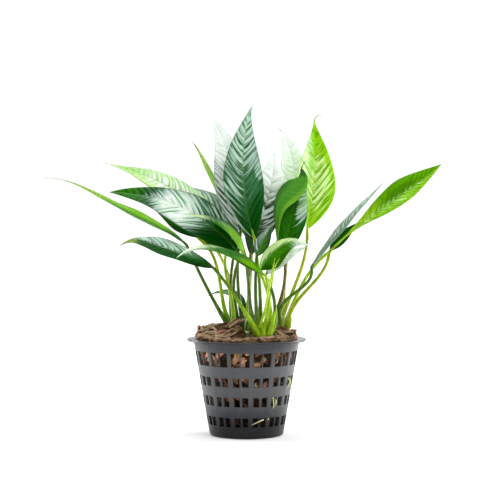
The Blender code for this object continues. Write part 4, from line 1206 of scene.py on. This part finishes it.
class BarkHeap:
    """Gathers slabs and chips of bark into one mesh, each point with its colour."""

    def __init__(self, settings):
        self.colours = bark_colours(settings)
        self.rng = np.random.default_rng(settings.seed)
        self.bm = bmesh.new()
        self.layer = self.bm.verts.layers.float_color.new("tint")

    def vert(self, place, point, tint):
        made = self.bm.verts.new(place @ Vector(point) * MM)
        made[self.layer] = (*np.clip(tint, 0, 1), 1)
        return made

    def draw(self, *spans):
        """One random number from each span."""
        return tuple(self.rng.uniform(*span) for span in spans)

    def chip_tint(self):
        """A chip's own colour: mostly brown, some reddish, a few pale or dark."""
        brown, red, pale, dark = self.colours
        kinds = ((0.45, brown), (0.75, red), (0.87, brown + (pale - brown) * 0.6),
                 (1.0, brown + (dark - brown) * 0.6))
        pick = self.rng.random()
        colour = next(colour for most, colour in kinds if pick < most)
        return colour * self.rng.uniform(0.75, 1.2)

    def add_chip(self, place, size, tint):
        """One splintered chip: the hull of points thrown on a flattened block."""
        made = bmesh.new()
        for _ in range(CHIP_POINTS):
            point = self.rng.uniform(-1, 1, 3)
            point /= max(np.abs(point).max(), 1e-6) ** 0.8
            made.verts.new(Vector(point * np.array(size) / 2))
        bmesh.ops.convex_hull(made, input=made.verts)
        loose = [vert for vert in made.verts if not vert.link_faces]
        bmesh.ops.delete(made, geom=loose, context="VERTS")
        bmesh.ops.subdivide_edges(made, edges=made.edges, cuts=1)
        bmesh.ops.triangulate(made, faces=made.faces)
        kept = {}
        for vert in made.verts:
            shake = Vector(self.rng.uniform(-1, 1, 3)) * min(size) * 0.09
            kept[vert] = self.vert(place, vert.co + shake, tint)
        for face in made.faces:
            self.bm.faces.new([kept[vert] for vert in face.verts])
        made.free()

    def add_slab(self, place, length, width, redness):
        """One slab: fibres run along it, its ends are torn and it is a little arched and twisted."""
        brown, red, pale, dark = self.colours
        u, v = np.meshgrid(np.linspace(-1, 1, SLAB_COLUMNS), np.linspace(-1, 1, SLAB_ROWS))
        fibre = self.rng.uniform(-1, 1, SLAB_ROWS)[:, None]
        seed = self.rng.uniform(0, 50)
        flow = np.array([[noise.noise((a * length * 0.16 + seed, b * width * 0.9, seed))
                          for a, b in zip(*pair)] for pair in zip(u, v)])
        torn = 1 + 0.16 * fibre * np.abs(u) ** 3 + 0.12 * np.sin(v * 5 + seed) * np.abs(u) ** 3
        x = u * length / 2 * torn
        y = v * width / 2 * (1 - 0.25 * u ** 4 + 0.12 * np.sin(u * 4 + seed))
        arch = -0.9 * (v ** 2) * width / 6 + 0.35 * np.sin(u * 2.6 + seed) + 0.25 * u * v
        height = arch + 0.3 * fibre + 0.75 * flow
        thick = SLAB_THICKNESS / 2 * (1 - 0.75 * np.maximum(np.abs(u), np.abs(v)) ** 4)
        # Painted shade and highlight: the slab's colour follows its height, pale with the cream colour on
        # its ridges and dark in its grooves
        shade = np.clip(0.47 + 0.42 * fibre + 1.1 * flow, 0, 1)[..., None]
        ground = brown + (red - brown) * redness
        tint = np.where(shade > 0.5, ground + (pale - ground) * (shade * 2 - 1) * 0.85,
                        dark + (ground - dark) * (0.06 + shade * 1.8)).reshape(-1, 3)
        top, bottom = ([self.vert(place, point, colour)
                        for point, colour in zip(np.stack((x, y, z), -1).reshape(-1, 3), tint)]
                       for z in (height + thick, height - thick))

        index = np.arange(u.size).reshape(u.shape)
        for a in index[:-1, :-1].ravel():
            corners = (a, a + 1, a + 1 + SLAB_COLUMNS, a + SLAB_COLUMNS)
            self.bm.faces.new([top[i] for i in corners])
            self.bm.faces.new([bottom[i] for i in corners[::-1]])
        border = [*index[0], *index[1:, -1], *index[-1, -2::-1], *index[-2:0:-1, 0]]
        for a, b in zip(border, border[1:] + border[:1]):
            self.bm.faces.new((top[b], top[a], bottom[a], bottom[b]))


def build_chips(settings):
    """Loose bark: fibrous slabs and small chips on top, and chips that stand behind the slots."""
    heap = BarkHeap(settings)
    rng = heap.rng
    for x, y, length, width, yaw, rise, roll, lift, redness in FRONT_SLABS:
        heap.add_slab(turned(x, y, soil_height(x, y) + lift, yaw, rise, roll), length, width, redness)
    for _ in range(settings.slabs):
        radius, turn = heap.draw(*SLAB_SPOT)
        x, y, _ = off_axis(radius, math.radians(turn))
        lift, *turns = heap.draw(*SLAB_LIE)
        place = turned(x, y, soil_height(x, y) + lift, *turns)
        heap.add_slab(place, *heap.draw(*SLAB_SIZE))
    for _ in range(settings.chips):
        radius = TOP_CHIPS_RADIUS * math.sqrt(rng.uniform(0.02, 1))
        x, y, _ = off_axis(radius, rng.uniform(0, 2 * math.pi))
        size = heap.draw(*TOP_CHIP)
        lift, yaw = heap.draw((-0.8, 0.2), (0, 360))
        place = turned(x, y, soil_height(x, y) + lift, yaw, rng.normal(0, 18), rng.normal(0, 16))
        heap.add_chip(place, size, heap.chip_tint())
    for _ in range(settings.wall_chips):
        z, turn = heap.draw(WALL_CHIPS_HEIGHT, (0, 2 * math.pi))
        size = heap.draw(*WALL_CHIP)
        radius = wall_radius(z) - WALL - rng.uniform(0.5, 1.1) - size[2] / 2
        face_out = Matrix.Rotation(turn, 4, "Z") @ Matrix.Rotation(math.pi / 2, 4, "Y")
        spin = Matrix.Rotation(rng.uniform(0, 2 * math.pi), 4, "Z")
        tilt = Matrix.Rotation(rng.normal(0, 0.1), 4, "X")
        place = Matrix.Translation(off_axis(radius, turn, z)) @ face_out @ tilt @ spin
        # Painted light and shade: the chips are brighter than their own colour near the top of the pot and
        # darker the further down the pot they stand
        heap.add_chip(place, size, heap.chip_tint() * (0.04 + 2.3 * (z / 45) ** 1.9))
    place_piece("bark_chips", mesh_from(heap.bm, "chips"), bark_material(), ())


def stalk_material():
    return shared_material("stalk_skin", stalk_surface)


def build_rhizomes():
    """Each short rhizome with the clasping sheaths of its stalks and one old pointed sheath."""
    for name, ((x, y), half_length, half_wide, turn, colour, grown) in RHIZOMES.items():
        tubes = TubeSet()
        centre = np.array((x, y, RHIZOME_HEIGHT))
        ahead = np.array(off_axis(1, math.radians(turn)))
        share = np.linspace(-1, 1, RHIZOME_ROWS)
        route = centre + share[:, None] * half_length * 0.97 * ahead
        radii = np.sqrt(np.maximum(1 - share ** 2, 0.02)) * (1 + 0.1 * np.sin(share * 17))
        tints = fade_colours("stalk_olive", "stalk_dark", np.abs(share))
        tubes.add(route, half_wide * 0.78 * radii, tints, 20)
        for leaf in LEAVES:
            if leaf.name not in grown:
                continue
            stalk = on_route(leaf.stalk, np.linspace(0, 0.3, 9))
            start = stalk[0] * 0.42 + centre * 0.58
            start[2] = SHEATH_FOOT_HEIGHT
            bend = stalk[0] * 0.7 + start * 0.3 - (stalk[1] - stalk[0]) * 0.3
            lower = on_route([start, bend, stalk[0]], np.linspace(0, 1, 10))[:-1]
            route = np.vstack((lower, stalk))
            share = np.linspace(0, 1, len(route))
            inward = (centre - stalk[0]) * (1, 1, 0)
            tints = fade_colours(colour, f"stalk_{STALK_COLOURS[leaf.name][0]}", share ** 0.6)
            tubes.add(route, np.interp(share, CLASP_PLACES, CLASP_RADII), tints, 16, 1.12, inward)
        route, radius = OLD_SHEATHS[name]
        share = np.linspace(0, 1, OLD_SHEATH_ROWS)
        radii = radius * np.interp(share, (0, 0.45, 0.8, 1), (0.9, 1, 0.55, 0.06))
        tints = fade_colours(colour, "stalk_lime", share)
        tubes.add(on_route(route, share), radii, tints, 16, 0.75, (0, 1, 0))
        place_piece(f"rhizome_{name}_skin", tubes.mesh(name), stalk_material(),
                    (f"rhizome_{name}",))


def build_stalks(settings):
    """Each stalk, swollen just below its blade and carried on a little under the midrib."""
    t = np.linspace(0, 1, STALK_ROWS)
    radii = STALK_FOOT_RADIUS + (STALK_TOP_RADIUS - STALK_FOOT_RADIUS) * t ** 0.8
    radii = radii * (1 + settings.swelling * soft_bump(t - 0.95, 0.06))
    radii = np.concatenate((radii, RUN_RADII))
    share = np.concatenate((t, np.ones(len(RUN_PLACES))))
    for leaf in LEAVES:
        route = np.vstack((on_route(leaf.stalk, t), on_route(leaf.midrib, np.array(RUN_PLACES))))
        foot, top = STALK_COLOURS[leaf.name]
        tubes = TubeSet()
        tubes.add(route, radii, fade_colours(f"stalk_{foot}", f"stalk_{top}", share), 14)
        place_piece(f"{leaf.name}_stalk", tubes.mesh(leaf.name), stalk_material(),
                    (f"stalk_{leaf.name}",))


def build_blade(leaf, name, node, settings):
    finish = BLADE_FINISHES[leaf.skin]
    material = shared_material(finish.material, leaf_surface, finish)
    place_piece(name, Blade(leaf, settings).mesh(), material, (node,))


def build_rolled_leaf():
    """The young leaf in front, still rolled, with its sheath's tip beside it."""
    tubes = TubeSet()
    for route, places, radii, rows, sides, flat in ROLLED_LEAF:
        share = np.linspace(0, 1, rows)
        tubes.add(on_route(route, share), np.interp(share, places, radii),
                  fade_colours("stalk_lime", "yellow_lime", share), sides, flat, (1, 0, 0))
    place_piece("young_front_rolled", tubes.mesh("young"), stalk_material(),
                ("young_leaf_front",))


def build_roots():
    """Pale root tips that come out of the slots, with their finer strands."""
    share = np.linspace(0, 1, 30)
    for name, strands in ROOTS.items():
        tubes = TubeSet()
        for strand, places in enumerate(strands):
            points = [off_axis(wall_radius(z) + off, math.radians(degrees - 90), z)
                      for degrees, off, z in places]
            thick = 1.0 if strand == 0 else 0.7
            tubes.add(on_route(points, share), thick * np.interp(share, (0, 0.6, 1), (0.36, 0.3, 0.07)),
                      fade_colours("root", "root", share), 12)
        place_piece(f"root_{name}_tip", tubes.mesh(name), stalk_material(), (f"root_{name}",))


def floor_surface(shader, settings):
    """Plain pale floor, that glows a little away from the plant as a lit table does."""
    cloud, _ = mottle(shader, 6.0, 60.0)
    colour = shader.over(settings.floor, (0.9, 0.9, 0.9), cloud, 0.02)
    away = shader.node("VectorMath", {0: shader.place()}, operation="LENGTH").outputs["Value"]
    glow = shader.mix(shader.ramp(away, 0.05, 0.45), (0.07, 0.07, 0.07), (1, 1, 1))
    return shader.node("BsdfPrincipled", {
        "Base Color": colour, "Roughness": 0.9, "Specular IOR Level": 0.1, "Emission Color": glow,
        "Emission Strength": settings.glow}).outputs[0]


def white_surroundings(settings):
    """White all round, brighter behind the plant than in front."""
    world = bpy.data.worlds.new("white surroundings")
    world.use_nodes = True
    world.node_tree.nodes.clear()
    shader = Shader(world.node_tree)
    generated = shader.node("TexCoord").outputs["Generated"]
    toward = shader.node("SeparateXYZ", {0: generated}).outputs["Y"]
    around = shader.ramp(toward, -0.3, 0.9, settings.front, settings.back)
    seen = shader.node("LightPath").outputs["Is Camera Ray"]
    strength = shader.node("MapRange", {"Value": seen, "To Min": around, "To Max": 1.05}).outputs["Result"]
    back = shader.node("Background", {"Color": (1, 1, 1, 1), "Strength": strength})
    shader.node("OutputWorld", {"Surface": back.outputs[0]})
    return world


def add_object(name, data, place):
    made = bpy.data.objects.new(name, data)
    made.location = place
    bpy.context.scene.collection.objects.link(made)
    return made


def build_stage(settings):
    """Plain pale floor, white surroundings, soft lights and the camera."""
    scene = bpy.context.scene
    reach = FLOOR_REACH / MM
    corners = [(x, y, -FLOOR_DROP / MM) for x, y in ((-reach, -reach), (reach, -reach), (reach, reach),
                                                    (-reach, reach))]
    mesh = new_mesh("floor", corners, [(0, 1, 2, 3)], smooth=False)
    mesh.materials.append(shared_material("floor_white", floor_surface, settings))
    add_object("floor", mesh, (0, 0, 0))
    scene.world = white_surroundings(settings)

    for name, place, size in LIGHTS:
        data = bpy.data.lights.new(name, "AREA")
        data.shape = "RECTANGLE"
        data.size, data.size_y = size
        data.energy = getattr(settings, name)
        light = add_object(name, data, place)
        light.visible_camera = False
        light.rotation_euler = (Vector(LIGHTS_AIM) - Vector(place)).to_track_quat("-Z", "Y").to_euler()

    data = bpy.data.cameras.new("camera")
    data.sensor_width = CAMERA_SENSOR
    data.lens = CAMERA_LENS
    camera = add_object("camera", data, CAMERA_PLACE)
    camera.rotation_euler = (math.radians(90 - CAMERA_TILT), 0, 0)
    scene.camera = camera
    scene.view_settings.view_transform = "Standard"


class ANUBIAS_OT_pot(bpy.types.Operator):
    """Build the slotted net pot"""

    bl_idname = "anubias.pot"
    bl_label = "Net pot"

    def execute(self, context):
        build_pot(context.scene.anubias_pot)
        return {"FINISHED"}


class ANUBIAS_OT_substrate(bpy.types.Operator):
    """Build the body of peat and bark in the pot"""

    bl_idname = "anubias.substrate"
    bl_label = "Substrate"

    def execute(self, context):
        build_substrate(context.scene.anubias_bark)
        return {"FINISHED"}


class ANUBIAS_OT_chips(bpy.types.Operator):
    """Scatter loose bark on top and behind the slots"""

    bl_idname = "anubias.chips"
    bl_label = "Bark chips"

    def execute(self, context):
        build_chips(context.scene.anubias_bark)
        return {"FINISHED"}


class ANUBIAS_OT_rhizomes(bpy.types.Operator):
    """Build the rhizomes with their clasping sheaths"""

    bl_idname = "anubias.rhizomes"
    bl_label = "Rhizomes"

    def execute(self, context):
        build_rhizomes()
        return {"FINISHED"}


class ANUBIAS_OT_stalks(bpy.types.Operator):
    """Build the leaf stalks"""

    bl_idname = "anubias.stalks"
    bl_label = "Stalks"

    def execute(self, context):
        build_stalks(context.scene.anubias_stalks)
        return {"FINISHED"}


class ANUBIAS_OT_blades(bpy.types.Operator):
    """Build the veined leaf blades"""

    bl_idname = "anubias.blades"
    bl_label = "Leaf blades"

    def execute(self, context):
        for leaf in LEAVES:
            build_blade(leaf, f"{leaf.name}_blade", f"leaf_{leaf.name}", context.scene.anubias_leaves)
        return {"FINISHED"}


class ANUBIAS_OT_young_leaves(bpy.types.Operator):
    """Build the two young leaves"""

    bl_idname = "anubias.young_leaves"
    bl_label = "Young leaves"

    def execute(self, context):
        build_blade(YOUNG_LEFT, "young_left_blade", "young_leaf_left", context.scene.anubias_leaves)
        build_rolled_leaf()
        return {"FINISHED"}


class ANUBIAS_OT_roots(bpy.types.Operator):
    """Build the root tips"""

    bl_idname = "anubias.roots"
    bl_label = "Root tips"

    def execute(self, context):
        build_roots()
        return {"FINISHED"}


class ANUBIAS_OT_stage(bpy.types.Operator):
    """Set up the floor, the lights and the camera"""

    bl_idname = "anubias.stage"
    bl_label = "Stage"

    def execute(self, context):
        build_stage(context.scene.anubias_stage)
        return {"FINISHED"}


class ANUBIAS_PT_panel(bpy.types.Panel):
    """Every piece of the plant, in the order it is built, and its settings"""

    bl_idname = "ANUBIAS_PT_panel"
    bl_label = "Potted anubias"
    bl_space_type = "VIEW_3D"
    bl_region_type = "UI"
    bl_category = "Anubias"

    def draw(self, context):
        for operator in OPERATORS:
            self.layout.operator(operator.bl_idname)
        for name in SETTINGS:
            settings = getattr(context.scene, name)
            box = self.layout.box()
            for key in settings.__annotations__:
                box.prop(settings, key)


OPERATORS = (ANUBIAS_OT_pot, ANUBIAS_OT_substrate, ANUBIAS_OT_chips, ANUBIAS_OT_rhizomes, ANUBIAS_OT_stalks,
             ANUBIAS_OT_blades, ANUBIAS_OT_young_leaves, ANUBIAS_OT_roots, ANUBIAS_OT_stage)
SETTINGS = {"anubias_pot": AnubiasPot, "anubias_bark": AnubiasBark, "anubias_leaves": AnubiasLeaves,
            "anubias_stalks": AnubiasStalks, "anubias_stage": AnubiasStage}


def register():
    for kind in (*SETTINGS.values(), *OPERATORS, ANUBIAS_PT_panel):
        bpy.utils.register_class(kind)
    for name, kind in SETTINGS.items():
        setattr(bpy.types.Scene, name, PointerProperty(type=kind))


def unregister():
    for name in SETTINGS:
        delattr(bpy.types.Scene, name)
    for kind in (ANUBIAS_PT_panel, *reversed(OPERATORS), *reversed(tuple(SETTINGS.values()))):
        bpy.utils.unregister_class(kind)


def main():
    register()
    for operator in OPERATORS:
        getattr(bpy.ops.anubias, operator.bl_idname.split(".")[1])()


if __name__ == "__main__":
    main()
